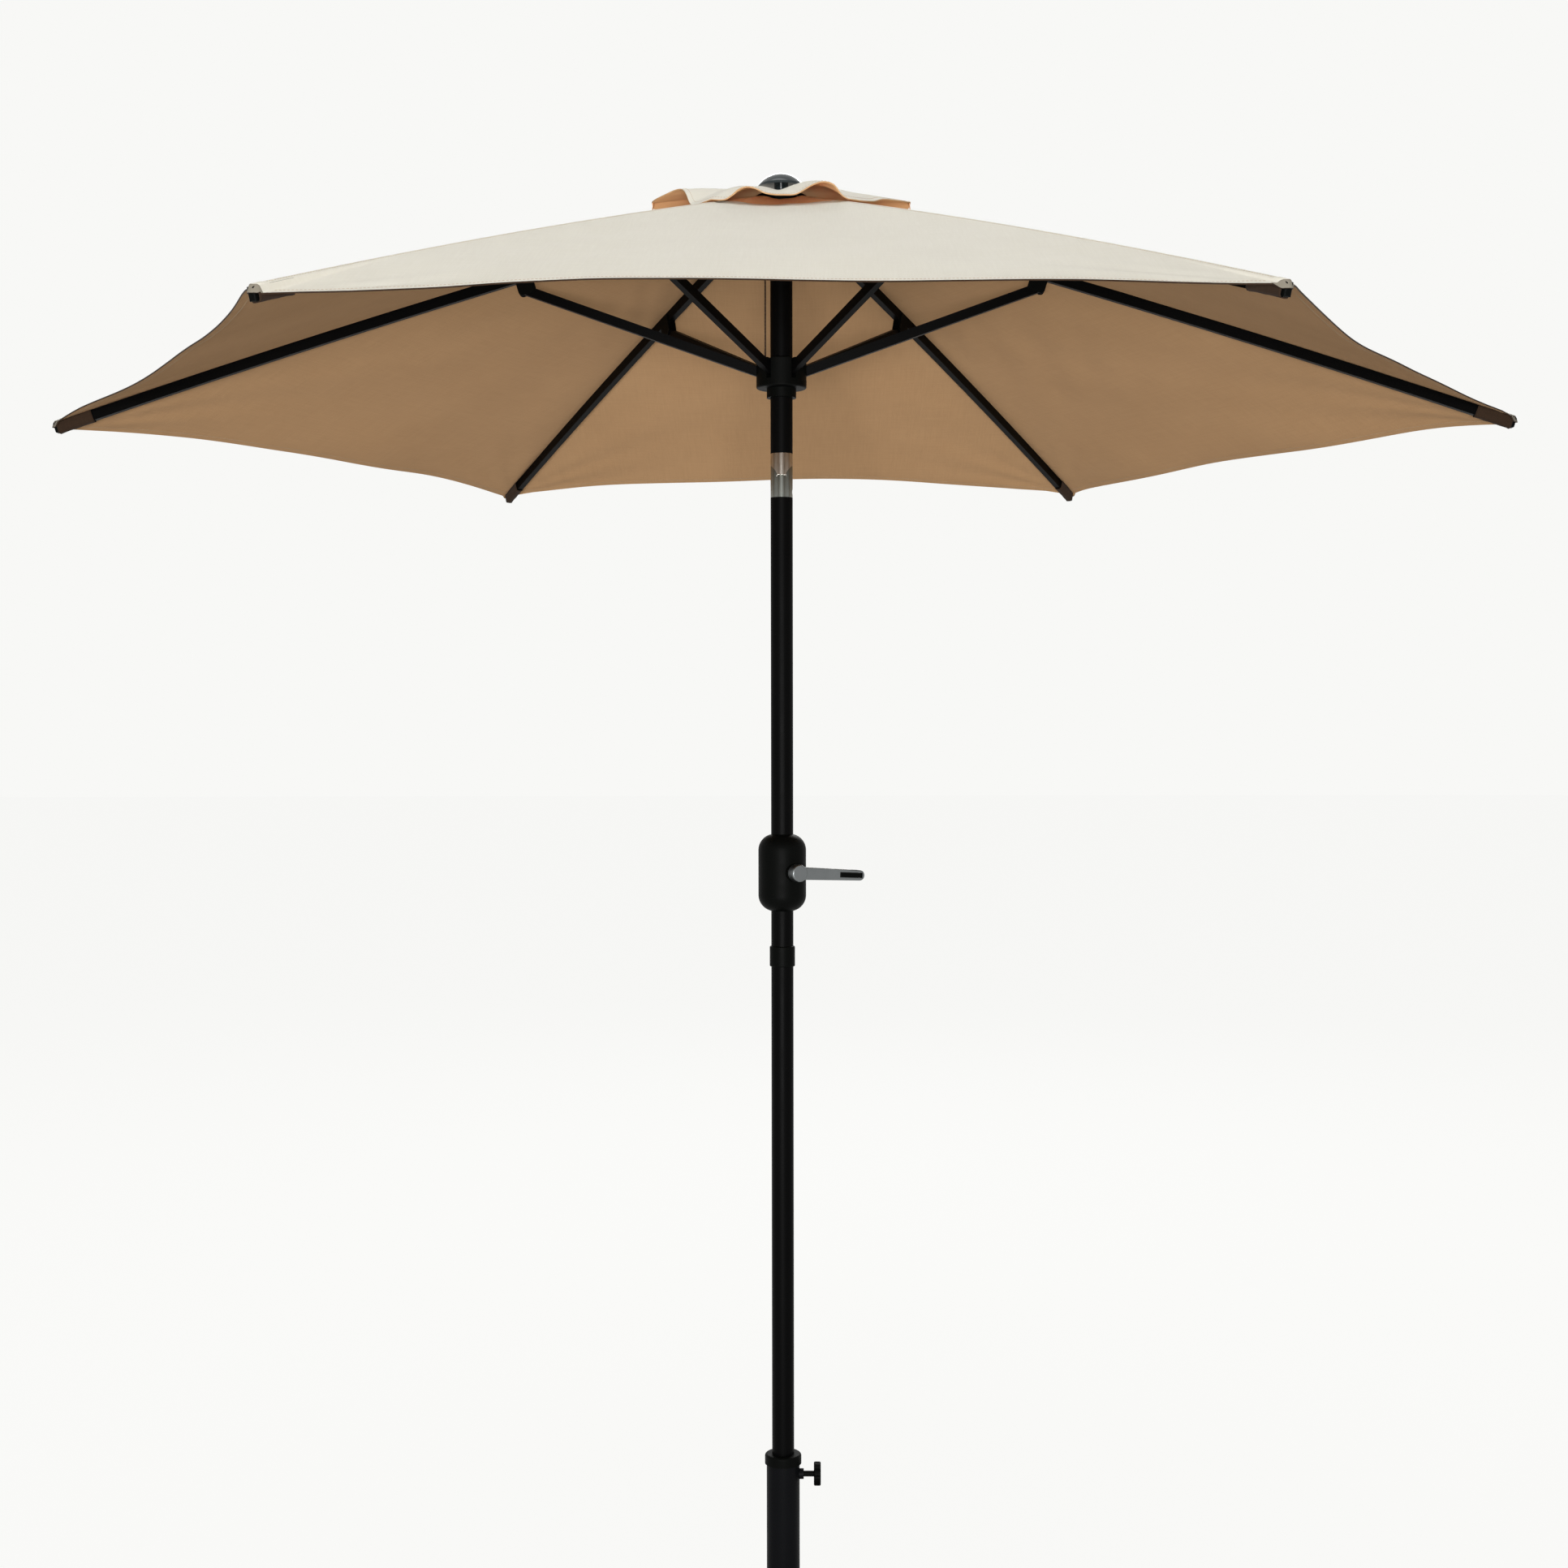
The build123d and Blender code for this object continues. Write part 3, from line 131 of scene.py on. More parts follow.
# Wrinkles that every panel has: broad and fine waves, ripples at the hem and creases at the tips
WRINKLE_HOLD = 0.10
PANEL_SHIFT = 3.1
WAVES_ACROSS = 2.4
WAVES_DOWN = 2.1
NOISE_LAYER = 0.7
BROAD_WAVE = 0.0035
FINE_WAVE = 0.0016
FINE_SCALE = 2.7
HEM_RIPPLE = 0.0022
HEM_RIPPLES = 2.2
HEM_RIPPLE_SHIFT = 0.37
HEM_RIPPLE_START = 0.78
TIP_CREASE = 0.0022
TIP_CREASES = 11
TIP_CREASE_FADE = (0.02, 0.12)
TIP_CREASE_REACH = 0.22
TIP_CREASE_START = 1e-4

# Tip pockets
POCKET_LENGTH = 0.064
POCKET_WALL = 0.0009
POCKET_GAP = 0.0006
POCKET_TOP = 0.0002
POCKET_FLARE = 0.0022
POCKET_SHOULDER = 0.004
POCKET_CORNER = 0.003
POCKET_BELLY = 0.0004
POCKET_MOUTH = 0.0006
POCKET_END = 0.0004
POCKET_UNEVEN = 0.05
POCKET_SWAY = 0.0005
POCKET_FLAT_STEP = 0.004
POCKET_ROWS = 15

# Vent cap
HUB_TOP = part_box("top_hub")[1].z
HUB_RADIUS = 0.045
VENT_INNER = 0.0128
VENT_CORNER = 0.221
VENT_MIDDLE = 0.192
VENT_REST = 0.0016
VENT_HEM = 0.012
VENT_PUFF = 2.2
VENT_DIP_PANEL = 4
VENT_DIP = (0.42, 0.30)
VENT_WRINKLE = 0.0016
VENT_PANEL_SHIFT = 2.3
VENT_WAVES = (5, 4)
VENT_NOISE_LAYER = 1.9
VENT_COLUMNS = 24
VENT_ROWS = 24
VENT_FIRST_ROW = 0.02
VENT_HEM_STEP = 0.01
VENT_LAST_ROW = 0.99
VENT_UNDER_FADE = (0.02, 0.08)
VENT_PROBE = 2e-3
HUB_CLEARANCE = 0.0004
TIE_WIDTH = 0.014
TIE_THICKNESS = 0.0011
TIE_ROW = 0.985
TIE_OVERLAP = 0.0002
TIE_BELLY = 0.003
TIE_TWIST = 0.0012
TIE_TURN = 2.2
TIE_GRID = (9, 5)

# How far a gore would be drawn in to its rib when the canopy is closed; below 1, carry only gives the cloth its
# own mesh
CANOPY_KEEP = 0.17

# How far a panel falls along its middle, and how far the cloth lies above the rib's centreline
RIDGE_TAN = math.tan(RIB_SLOPE)
FACE_TAN = RIDGE_TAN / math.cos(STEP / 2)
FACE_SLANT = math.hypot(1, FACE_TAN)
RIDGE_DROP = RIDGE_TAN * math.tan(STEP / 2)
RIDGE_LIFT = RIB_HEIGHT / 2 + (RIDGE_DROP * RIB_WIDTH / 2 + CLOTH_GAP) * math.cos(RIB_SLOPE)

# Radians that a wave texture of scale 1 turns through in one unit
WAVE_TURN = 20

# Camera, fitted to the photograph, whose side is IMAGE_PIXELS
IMAGE_PIXELS = 1932
FOCAL_PIXELS = 2618.6
SENSOR = 36.0
CAMERA_PLACE = (0.0527, -3.651, 1.602)
CAMERA_YAW = 0.01354
CAMERA_PITCH = -0.01955
CAMERA_ROLL = -0.00158

# Stage
BACKGROUND = (248, 248, 246)
FLOOR_HALF = 60.0
FLOOR_BOUNCE = (0.56, 0.56, 0.55, 1)
FLOOR_SHADE = (0.05, 0.05, 0.05, 1)
FLOOR_GLOW = 0.98
WORLD_STRENGTH = 0.12

# Lamps: name, place, point it aims at, width and height, power in watts, spread
LAMPS = (
    ("front_light", (-0.2, -7.0, 0.95), (0.0, 0.4, 2.1), (2.4, 1.2), 57.0, math.radians(64)),
    ("top_light", (-0.4, -1.8, 6.4), (0.0, 0.0, 2.3), (5.0, 5.0), 168.0, math.pi),
    ("back_light", (0.8, 6.0, 5.4), (0.0, 0.3, 2.0), (4.0, 3.0), 260.0, math.pi),
)


def linear(colour):
    """An sRGB colour, 0 to 255, as linear light."""
    shares = [c / 255 for c in colour]
    return [c / 12.92 if c <= 0.04045 else ((c + 0.055) / 1.055) ** 2.4 for c in shares]


def smooth(low, high, value):
    t = min(max((value - low) / (high - low), 0.0), 1.0)
    return t * t * (3 - 2 * t)


def curve_through(points, at):
    """A smooth curve through (place, value) points, read at a place."""
    k = 0
    while k < len(points) - 2 and points[k + 1][0] <= at:
        k += 1
    (x0, y0), (x1, y1) = points[k], points[k + 1]
    before = points[max(k - 1, 0)]
    after = points[min(k + 2, len(points) - 1)]
    span = x1 - x0
    leave = (y1 - before[1]) / (x1 - before[0]) * span
    arrive = (after[1] - y0) / (after[0] - x0) * span
    t = (at - x0) / span
    first = (2 * t ** 3 - 3 * t ** 2 + 1) * y0 + (t ** 3 - 2 * t ** 2 + t) * leave
    return first + (3 * t ** 2 - 2 * t ** 3) * y1 + (t ** 3 - t ** 2) * arrive


# Materials


class Shader:
    """A material with a Principled shader, and short ways to add the nodes that feed it."""

    def __init__(self, name, colour, roughness, metallic=0.0, **sockets):
        self.material = bpy.data.materials.new(name)
        self.material.use_nodes = True
        self.tree = self.material.node_tree
        self.shader = self.tree.nodes["Principled BSDF"]
        self.shader.inputs["Base Color"].default_value = (*linear(colour), 1.0)
        self.shader.inputs["Roughness"].default_value = roughness
        self.shader.inputs["Metallic"].default_value = metallic
        for socket, value in sockets.items():
            self.shader.inputs[socket.replace("_", " ")].default_value = value
        self.height = None

    def add(self, kind, **inputs):
        node = self.tree.nodes.new(kind)
        for socket, value in inputs.items():
            target = node.inputs[socket.replace("_", " ")]
            if isinstance(value, bpy.types.NodeSocket):
                self.tree.links.new(value, target)
            else:
                target.default_value = value
        return node

    def place(self, scale=(1, 1, 1), uv=False):
        """Object coordinates, or the cloth's own flat coordinates, stretched by a scale."""
        source = self.add("ShaderNodeTexCoord").outputs["UV" if uv else "Object"]
        return self.add("ShaderNodeMapping", Vector=source, Scale=scale).outputs["Vector"]

    def noise(self, place, scale, detail=3.0, roughness=0.5):
        node = self.add("ShaderNodeTexNoise", Vector=place, Scale=scale, Detail=detail, Roughness=roughness)
        return node.outputs["Fac"]

    def wave(self, place, period, direction):
        node = self.add("ShaderNodeTexWave", Vector=place, Scale=math.tau / WAVE_TURN / period)
        node.bands_direction = direction
        return node.outputs["Fac"]

    def math(self, operation, first, second):
        node = self.tree.nodes.new("ShaderNodeMath")
        node.operation = operation
        for socket, value in zip(node.inputs, (first, second)):
            if isinstance(value, bpy.types.NodeSocket):
                self.tree.links.new(value, socket)
            else:
                socket.default_value = value
        return node.outputs[0]

    def vary_colour(self, factor, dark, light):
        """Base colour between two sRGB colours as a factor goes from 0 to 1."""
        ramp = self.add("ShaderNodeValToRGB", Fac=factor)
        ramp.color_ramp.elements[0].color = (*linear(dark), 1)
        ramp.color_ramp.elements[1].color = (*linear(light), 1)
        self.tree.links.new(ramp.outputs["Color"], self.shader.inputs["Base Color"])

    def vary_roughness(self, factor, low, high):
        span = self.add("ShaderNodeMapRange", Value=factor, To_Min=low, To_Max=high)
        self.tree.links.new(span.outputs["Result"], self.shader.inputs["Roughness"])

    def bump(self, height, distance, strength=1.0):
        inputs = {"Height": height, "Distance": distance, "Strength": strength}
        if self.height:
            inputs["Normal"] = self.height
        self.height = self.add("ShaderNodeBump", **inputs).outputs["Normal"]
        self.tree.links.new(self.height, self.shader.inputs["Normal"])


def make_cloth(name, dark, light, shine):
    """Plain-woven canvas: warp and weft, slubs along both, and a slow drift of tone."""
    cloth = Shader(name, light, 0.86, Sheen_Weight=shine, Sheen_Roughness=0.5, Specular_IOR_Level=shine)
    flat = cloth.place(uv=True)
    yarns = [cloth.wave(flat, WEAVE_PERIOD, direction) for direction in ("X", "Y")]
    weave = cloth.math("MAXIMUM", *yarns)
    weft = cloth.noise(cloth.place((14, 260, 1), uv=True), 1.0, 4.0)
    warp = cloth.noise(cloth.place((300, 12, 1), uv=True), 1.0, 4.0)
    slub = cloth.math("ADD", weft, warp)
    drift = cloth.noise(flat, 5.0, 4.0)
    tone = cloth.math("ADD", cloth.math("MULTIPLY", slub, 0.32), cloth.math("MULTIPLY", drift, 0.36))
    tone = cloth.math("ADD", tone, cloth.math("MULTIPLY", weave, 0.10))
    cloth.vary_colour(tone, dark, light)
    cloth.bump(slub, 0.0006, 0.35)
    cloth.bump(weave, 0.0003, 0.5)
    return cloth.material


def make_powder_coat(name, dark, light, roughness):
    coat = Shader(name, light, roughness, Specular_IOR_Level=0.03)
    place = coat.place()
    coat.vary_colour(coat.noise(place, 9.0), dark, light)
    coat.vary_roughness(coat.noise(place, 30.0), roughness - 0.06, roughness + 0.08)
    coat.bump(coat.noise(place, 420.0, 2.0), 0.0004, 0.22)
    return coat.material


def make_plastic(name, dark, light, roughness):
    plastic = Shader(name, light, roughness, Specular_IOR_Level=0.03)
    place = plastic.place()
    plastic.vary_colour(plastic.noise(place, 14.0), dark, light)
    plastic.vary_roughness(plastic.noise(place, 60.0), roughness - 0.05, roughness + 0.08)
    plastic.bump(plastic.noise(place, 1100.0, 2.0), 0.0003, 0.3)
    return plastic.material


def make_gloss(name):
    gloss = Shader(name, (24, 32, 34), 0.16, Specular_IOR_Level=0.3, Coat_Weight=0.2, Coat_Roughness=0.06)
    place = gloss.place()
    gloss.vary_colour(gloss.noise(place, 20.0), (18, 26, 28), (30, 40, 42))
    gloss.vary_roughness(gloss.noise(place, 70.0, 4.0), 0.12, 0.24)
    return gloss.material


def make_metal(name, dark, light, roughness, grain, streak):
    """Metal with fine streaks along the pole, as drawn or polished tube has."""
    metal = Shader(name, light, roughness, 1.0)
    streaks = metal.noise(metal.place(streak), grain, 3.0)
    metal.vary_colour(metal.noise(metal.place(), 25.0), dark, light)
    metal.vary_roughness(streaks, roughness - 0.05, roughness + 0.10)
    metal.bump(streaks, 0.00025, 0.12)
    return metal.material


def make_cast_iron(name):
    iron = Shader(name, (22, 23, 24), 0.55, Specular_IOR_Level=0.2)
    place = iron.place()
    iron.vary_colour(iron.noise(place, 22.0, 5.0), (13, 14, 15), (27, 28, 29))
    iron.vary_roughness(iron.noise(place, 45.0, 4.0), 0.45, 0.68)
    iron.bump(iron.noise(place, 240.0, 4.0), 0.0012, 0.4)
    return iron.material


def make_braid(name):
    """Braided cord: two crossing spirals of yarn."""
    cord = Shader(name, (96, 76, 58), 0.8, Specular_IOR_Level=0.2)
    left = cord.wave(cord.place((60, 60, 1)), 0.006, "DIAGONAL")
    right = cord.wave(cord.place((-60, -60, 1)), 0.006, "DIAGONAL")
    braid = cord.math("MULTIPLY", left, right)
    cord.vary_colour(braid, (62, 48, 36), (118, 94, 72))
    cord.bump(braid, 0.0004, 0.7)
    return cord.material


CLOTH_TOP = make_cloth("canopy_outside", (206, 200, 184), (228, 224, 212), 0.08)
# The inside is the outside's tan cloth painted browner, as painted shade and painted light shining through the
# cloth
CLOTH_UNDER_PAINTED_SHADE = make_cloth("canopy_inside_painted_shade", (178, 138, 98), (210, 168, 124), 0.03)
# The vent cap's inside, its ties and the canopy's outside under the vent cap: the same cloth painted a deeper
# orange tan, as painted shade and painted light shining through the vent cloth
VENT_PAINTED_SHADE_CLOTH = make_cloth("vent_inside_painted_shade", (230, 174, 124), (250, 198, 146), 0.03)
# The fold of the outside cloth over a rib's tip, painted darker grey as painted shade
TIP_FLAP_SHADE_CLOTH = make_cloth("tip_flap_painted_shade", (118, 111, 98), (150, 143, 129), 0.03)
# Dark webbing of the tip pockets; the canopy cloth's edge walls take it too, as a painted shadow line along the
# hem
POCKET_AND_HEM_SHADE_CLOTH = make_cloth("pocket_webbing", (46, 35, 27), (68, 52, 40), 0.05)
THREAD = make_plastic("thread", (176, 156, 128), (200, 180, 152), 0.7)
BLACK_STEEL = make_powder_coat("black_powder_coat", (5, 5, 5), (9, 9, 9), 0.42)
BASE_STEEL = make_powder_coat("base_powder_coat", (14, 14, 16), (21, 22, 24), 0.40)
BLACK_PLASTIC = make_plastic("black_moulding", (6, 7, 6), (11, 12, 11), 0.46)
BLACK_GLOSS = make_gloss("black_gloss")
CHROME = make_metal("polished_plating", (176, 172, 164), (196, 190, 182), 0.14, 60.0, (30, 30, 0.6))
DULL_CHROME = make_metal("worn_plating", (112, 115, 110), (134, 137, 132), 0.16, 60.0, (30, 30, 0.6))
CAST_GREY = make_metal("grey_casting", (104, 107, 108), (124, 127, 128), 0.34, 240.0, (1, 1, 1))
STEEL = make_metal("plain_steel", (112, 112, 110), (142, 142, 140), 0.32, 90.0, (6, 6, 1))
IRON = make_cast_iron("black_casting")
RUBBER = make_plastic("rubber", (14, 14, 14), (22, 22, 22), 0.75)
CORD = make_braid("braided_cord")

SLOT_MATERIALS = {
    "black_steel": BLACK_STEEL,
    "black_plastic": BLACK_PLASTIC,
    "black_gloss": BLACK_GLOSS,
    "chrome": CHROME,
    "cast_grey": CAST_GREY,
    "steel": STEEL,
    "base_iron": IRON,
    "rubber": RUBBER,
    "cord": CORD,
    "canopy_cloth": CLOTH_UNDER_PAINTED_SHADE,
}
NODE_MATERIALS = {"base_tube": BASE_STEEL, "tilt_lower_knuckle": DULL_CHROME}


def finish_cad_nodes():
    """Gives every CAD node its finish."""
    for subpart in frame["record"]["subparts"]:
        node = frame["nodes"][subpart["node"]]
        material = SLOT_MATERIALS[subpart["material_slot"]]
        material = NODE_MATERIALS.get(subpart["node"], material)
        node.data.materials.clear()
        node.data.materials.append(material)


# Meshes


def add_mesh(name, points, faces, materials, face_materials=None, normals=None, uvs=None):
    """A mesh object. Normals and uvs, where given, are one for each face's corner."""
    mesh = bpy.data.meshes.new(name)
    mesh.from_pydata([tuple(p) for p in points], [], faces)
    for material in materials:
        mesh.materials.append(material)
    if face_materials is not None:
        mesh.polygons.foreach_set("material_index", face_materials)
    mesh.shade_smooth()
    if uvs is not None:
        layer = mesh.uv_layers.new(name="flat")
        layer.data.foreach_set("uv", np.asarray(uvs, np.float32).ravel())
    if normals is not None:
        mesh.normals_split_custom_set([tuple(n) for n in normals])
    mesh.update()
    piece = bpy.data.objects.new(name, mesh)
    bpy.context.scene.collection.objects.link(piece)
    return piece


def make_sheet(name, points, normals, flat_maps, thick_top, thick_under, panels_of, cloths, upper_kinds):
    """A closed thin cloth from a grid. Its cloths are above, below, round the edge, then more for above."""
    rows, columns = len(points), len(points[0])
    upper, lower = [], []
    for r in range(rows):
        for c in range(columns):
            upper.append(points[r][c] + normals[r][c] * thick_top[r][c])
            lower.append(points[r][c] - normals[r][c] * thick_under[r][c])
    count = rows * columns
    faces, kinds, corner_normals, corner_uvs = [], [], [], []

    def index(r, c):
        return r * columns + c

    for r in range(rows - 1):
        for c in range(columns - 1):
            cell = [(r, c), (r + 1, c), (r + 1, c + 1), (r, c + 1)]
            flat = flat_maps[panels_of[c]]
            faces.append([index(*p) for p in cell])
            kinds.append(upper_kinds[r][c])
            corner_normals += [normals[p[0]][p[1]] for p in cell]
            corner_uvs += [flat(points[p[0]][p[1]]) for p in cell]
            cell = cell[::-1]
            faces.append([count + index(*p) for p in cell])
            kinds.append(BELOW)
            corner_normals += [-normals[p[0]][p[1]] for p in cell]
            corner_uvs += [flat(points[p[0]][p[1]]) for p in cell]
    ring = [(0, c) for c in range(columns - 1)]
    ring += [(r, columns - 1) for r in range(rows - 1)]
    ring += [(rows - 1, c) for c in range(columns - 1, 0, -1)]
    ring += [(r, 0) for r in range(rows - 1, 0, -1)]
    for here, there in zip(ring, ring[1:] + ring[:1]):
        a, b = index(*here), index(*there)
        faces.append([a, b, count + b, count + a])
        kinds.append(EDGE)
        wall = (upper[b] - upper[a]).cross(lower[a] - upper[a])
        wall = wall.normalized() if wall.length > 0 else Vector((0, 0, 1))
        corner_normals += [wall] * 4
        flat = flat_maps[panels_of[min(here[1], columns - 2)]]
        start, end = flat(points[here[0]][here[1]]), flat(points[there[0]][there[1]])
        corner_uvs += [start, end, end, start]
    return add_mesh(name, upper + lower, faces, cloths, kinds, corner_normals, corner_uvs)


def add_stitches(name, runs):
    """Sewing thread: short rounded bars along runs of (point, normal) pairs, a pitch apart."""
    long, wide, high = STITCH_SIZE
    section = [(-0.5, 0.0), (-0.3, 0.8), (0.3, 0.8), (0.5, 0.0)]
    points, faces = [], []
    for run in runs:
        for (start, normal), (end, _) in zip(run[::2], run[1::2]):
            ahead = (end - start).normalized()
            side = normal.cross(ahead).normalized()
            centre = (start + end) / 2
            first = len(points)
            for step, lift in ((-0.5, 0.0), (-0.3, 1.0), (0.3, 1.0), (0.5, 0.0)):
                for across, rise in section:
                    offset = ahead * (step * long) + side * (across * wide)
                    points.append(centre + offset + normal * (high * (rise * lift + STITCH_RAISE)))
            for k in range(3):
                for j in range(3):
                    a = first + 4 * k + j
                    faces.append([a, a + 1, a + 5, a + 4])
            faces.append([first + 4 * k for k in range(4)][::-1] + [first + 4 * k + 3 for k in range(4)])
    return add_mesh(name, points, faces, [THREAD])


def surface_normal(surface, panel, share, down, d=1e-3):
    """The upward normal of a surface that takes a panel, a share across it and a share down it."""
    low_s, high_s = max(share - d, 0.0), min(share + d, 1.0)
    low_v, high_v = max(down - d, 0.0), min(down + d, 1.0)
    across = surface(panel, high_s, down) - surface(panel, low_s, down)
    down_by = surface(panel, share, high_v) - surface(panel, share, low_v)
    return down_by.cross(across).normalized()


def seam_normal(surface, before, after, down):
    both = surface_normal(surface, before, 1.0, down) + surface_normal(surface, after, 0.0, down)
    return both.normalized()


# Canopy panels


def panel_frame(panel):
    """Directions out along the middle of a panel and along its chord, from its first rib to its second."""
    middle = (panel + 0.5) * STEP
    out = Vector((math.cos(middle), math.sin(middle), 0))
    along = Vector((-math.sin(middle), math.cos(middle), 0))
    return out, along


def rib_frame(rib):
    """Directions out along a rib and level across it."""
    out = Vector((math.cos(rib * STEP), math.sin(rib * STEP), 0))
    return out, Vector((-out.y, out.x, 0))


def panels_beside(rib):
    """The panels before and after a rib."""
    return (rib - 1) % RIBS, rib


def flat_map(panel):
    """A point's place on its panel's flat cloth: along the chord, and down the panel."""
    out, along = panel_frame(panel)
    return lambda point: (point.dot(along) + panel * FLAT_APART, point.dot(out) * FACE_SLANT)


def rib_rise(out):
    """How far the bowed rib stands above the line from its hinge to its tip."""
    return math.sqrt(RIB_ARC ** 2 - (out - RIB_LENGTH / 2) ** 2) - RIB_ARC + RIB_BOW


def ridge_height(radius):
    """Height of the cloth's underside over a rib, at a distance from the pole's axis."""
    out = (radius - PIVOT.x) / math.cos(RIB_SLOPE)
    for _ in range(3):
        above = rib_rise(out) + RIDGE_LIFT
        out = (radius - PIVOT.x - above * math.sin(RIB_SLOPE)) / math.cos(RIB_SLOPE)
    above = rib_rise(out) + RIDGE_LIFT
    return PIVOT.z - out * math.sin(RIB_SLOPE) + above * math.cos(RIB_SLOPE)


# Wrinkles: panel, share across, share down, angle in degrees, length of a wave, height, reach
FOLDS = (
    (2, 0.22, 0.30, 38, 0.078, 0.0014, 0.13),
    (0, 0.62, 0.55, -32, 0.110, 0.0013, 0.22),
    (4, 0.18, 0.70, 10, 0.130, 0.0014, 0.26),
    (3, 0.80, 0.66, -14, 0.125, 0.0013, 0.24),
    (5, 0.30, 0.40, 25, 0.120, 0.0012, 0.25),
    (1, 0.55, 0.30, -18, 0.115, 0.0012, 0.22),
)


def wrinkle(panel, share, down, reach):
    """How far the cloth stands off its taut surface, which is nothing along the ribs."""
    hold = smooth(0.0, WRINKLE_HOLD, share) * smooth(0.0, WRINKLE_HOLD, 1 - share)
    spot = Vector((panel * PANEL_SHIFT + share * WAVES_ACROSS, down * WAVES_DOWN, NOISE_LAYER))
    lift = BROAD_WAVE * noise.noise(spot) + FINE_WAVE * noise.noise(spot * FINE_SCALE)
    turn = math.tau * (HEM_RIPPLES * share + HEM_RIPPLE_SHIFT * panel)
    lift += HEM_RIPPLE * math.sin(turn) * smooth(HEM_RIPPLE_START, 1.0, down)
    for fold_panel, across, at, angle, wave, height, extent in FOLDS:
        if fold_panel != panel:
            continue
        x = (share - across) * reach
        y = (down - at) * CLOTH_SPAN
        a = math.radians(angle)
        phase = math.tau * (x * math.cos(a) + y * math.sin(a)) / wave
        lift += height * math.cos(phase) * math.exp(-(x * x + y * y) / (extent * extent))
    for corner, side in ((share, 1), (1 - share, -1)):
        x = corner * reach
        y = (1 - down) * CLOTH_SPAN + TIP_CREASE_START
        far = math.hypot(x, y)
        spread = math.sin(TIP_CREASES * math.atan2(x, y) + side * panel)
        lift += TIP_CREASE * spread * smooth(*TIP_CREASE_FADE, far) * math.exp(-far / TIP_CREASE_REACH)
    return lift * hold


# Each panel's hem, as the photograph shows it: how deep its scallop is, how flat it starts, and how far
# it hangs below the taut cloth at the panel's middle, beside the first rib's end and beside the second's
HEMS = (
    (0.058, 1.0, 0.019, 0.011, 0.003),
    (0.080, 1.0, 0.006, 0.0, 0.0),
    (0.058, 1.05, 0.015, 0.005, 0.010),
    (0.065, 1.0, 0.004, 0.0, 0.0),
    (0.080, 1.7, 0.006, 0.011, 0.004),
    (0.066, 1.0, 0.004, 0.0, 0.0),
)


def hang(panel, share, down, reach):
    """How far the cloth is below its taut surface: the hem's hang, or the flap over a rib's tip."""
    first, second = share * reach, (1 - share) * reach
    beside = min(first, second)
    above = (1 - down) * CLOTH_SPAN
    middle_hang, *end_hangs = HEMS[panel][2:]
    depth = middle_hang * smooth(0.0, HANG_SPREAD, beside)
    for end_hang, distance in zip(end_hangs, (first, second)):
        depth += end_hang * math.exp(-distance / HANG_REACH)
    fold = TIP_FLAP * (1 - smooth(*FLAP_FADE, beside)) * (1 - smooth(0.0, TIP_OVER - FLAP_TURN, above))
    return max(depth * smooth(*HANG_FADE, beside) * math.exp(-((above / HANG_DEPTH) ** 2)), fold)


def panel_surface(panel, share, down):
    """The cloth's underside: share goes from one rib to the next, down from the vent's hole to the hem."""
    out, along = panel_frame(panel)
    reach = VENT_HOLE + CLOTH_SPAN * down
    bow = 4 * share * (1 - share)
    scallop, flatness = HEMS[panel][:2]
    forward = reach * math.cos(STEP / 2) - scallop * bow ** flatness * down ** 2
    sag = PANEL_SAG * bow * math.sin(math.pi * min(1.0, SAG_START + SAG_SPAN * down))
    height = ridge_height(forward / math.cos(STEP / 2)) - sag
    height += wrinkle(panel, share, down, reach) - hang(panel, share, down, reach)
    return out * forward + along * ((share - 0.5) * reach) + Vector((0, 0, height))


def gore_columns(reach):
    """Distances from the rib, to the middle of a panel: close together at the seam, then even."""
    close = [0.0, SEAM_HALF / 2, SEAM_HALF - SEAM_STEP, SEAM_HALF + SEAM_STEP, STRIP_HALF, *NEAR_COLUMNS]
    last = close[-1]
    shares = [(k / EVEN_COLUMNS) ** COLUMN_POWER for k in range(1, EVEN_COLUMNS + 1)]
    return close + [last + (reach / 2 - last) * share for share in shares]


def gore_rows():
    """Shares down a panel: even to the edge of the painted shade under the vent cap, even below it, and close
    together at both edges.
    """
    top = [0.0, FIRST_ROW, EDGE_BAND, EDGE_BAND + EDGE_STEP]
    vent_shade_edge = VENT_SHADE_RADIUS - VENT_HOLE
    foot = [CLOTH_SPAN - HEM_BAND - EDGE_STEP, CLOTH_SPAN - HEM_BAND]
    foot += [CLOTH_SPAN - TIP_OVER, CLOTH_SPAN - TIP_OVER / 2, CLOTH_SPAN]
    inner = [top[-1] + (vent_shade_edge - top[-1]) * k / VENT_SHADE_ROWS for k in range(1, VENT_SHADE_ROWS + 1)]
    shares = [1 - (1 - k / PANEL_ROWS) ** ROW_POWER for k in range(1, PANEL_ROWS)]
    outer = [vent_shade_edge + (foot[0] - vent_shade_edge) * share for share in shares]
    return [place / CLOTH_SPAN for place in top + inner + outer + foot], len(top) + len(inner) - 1


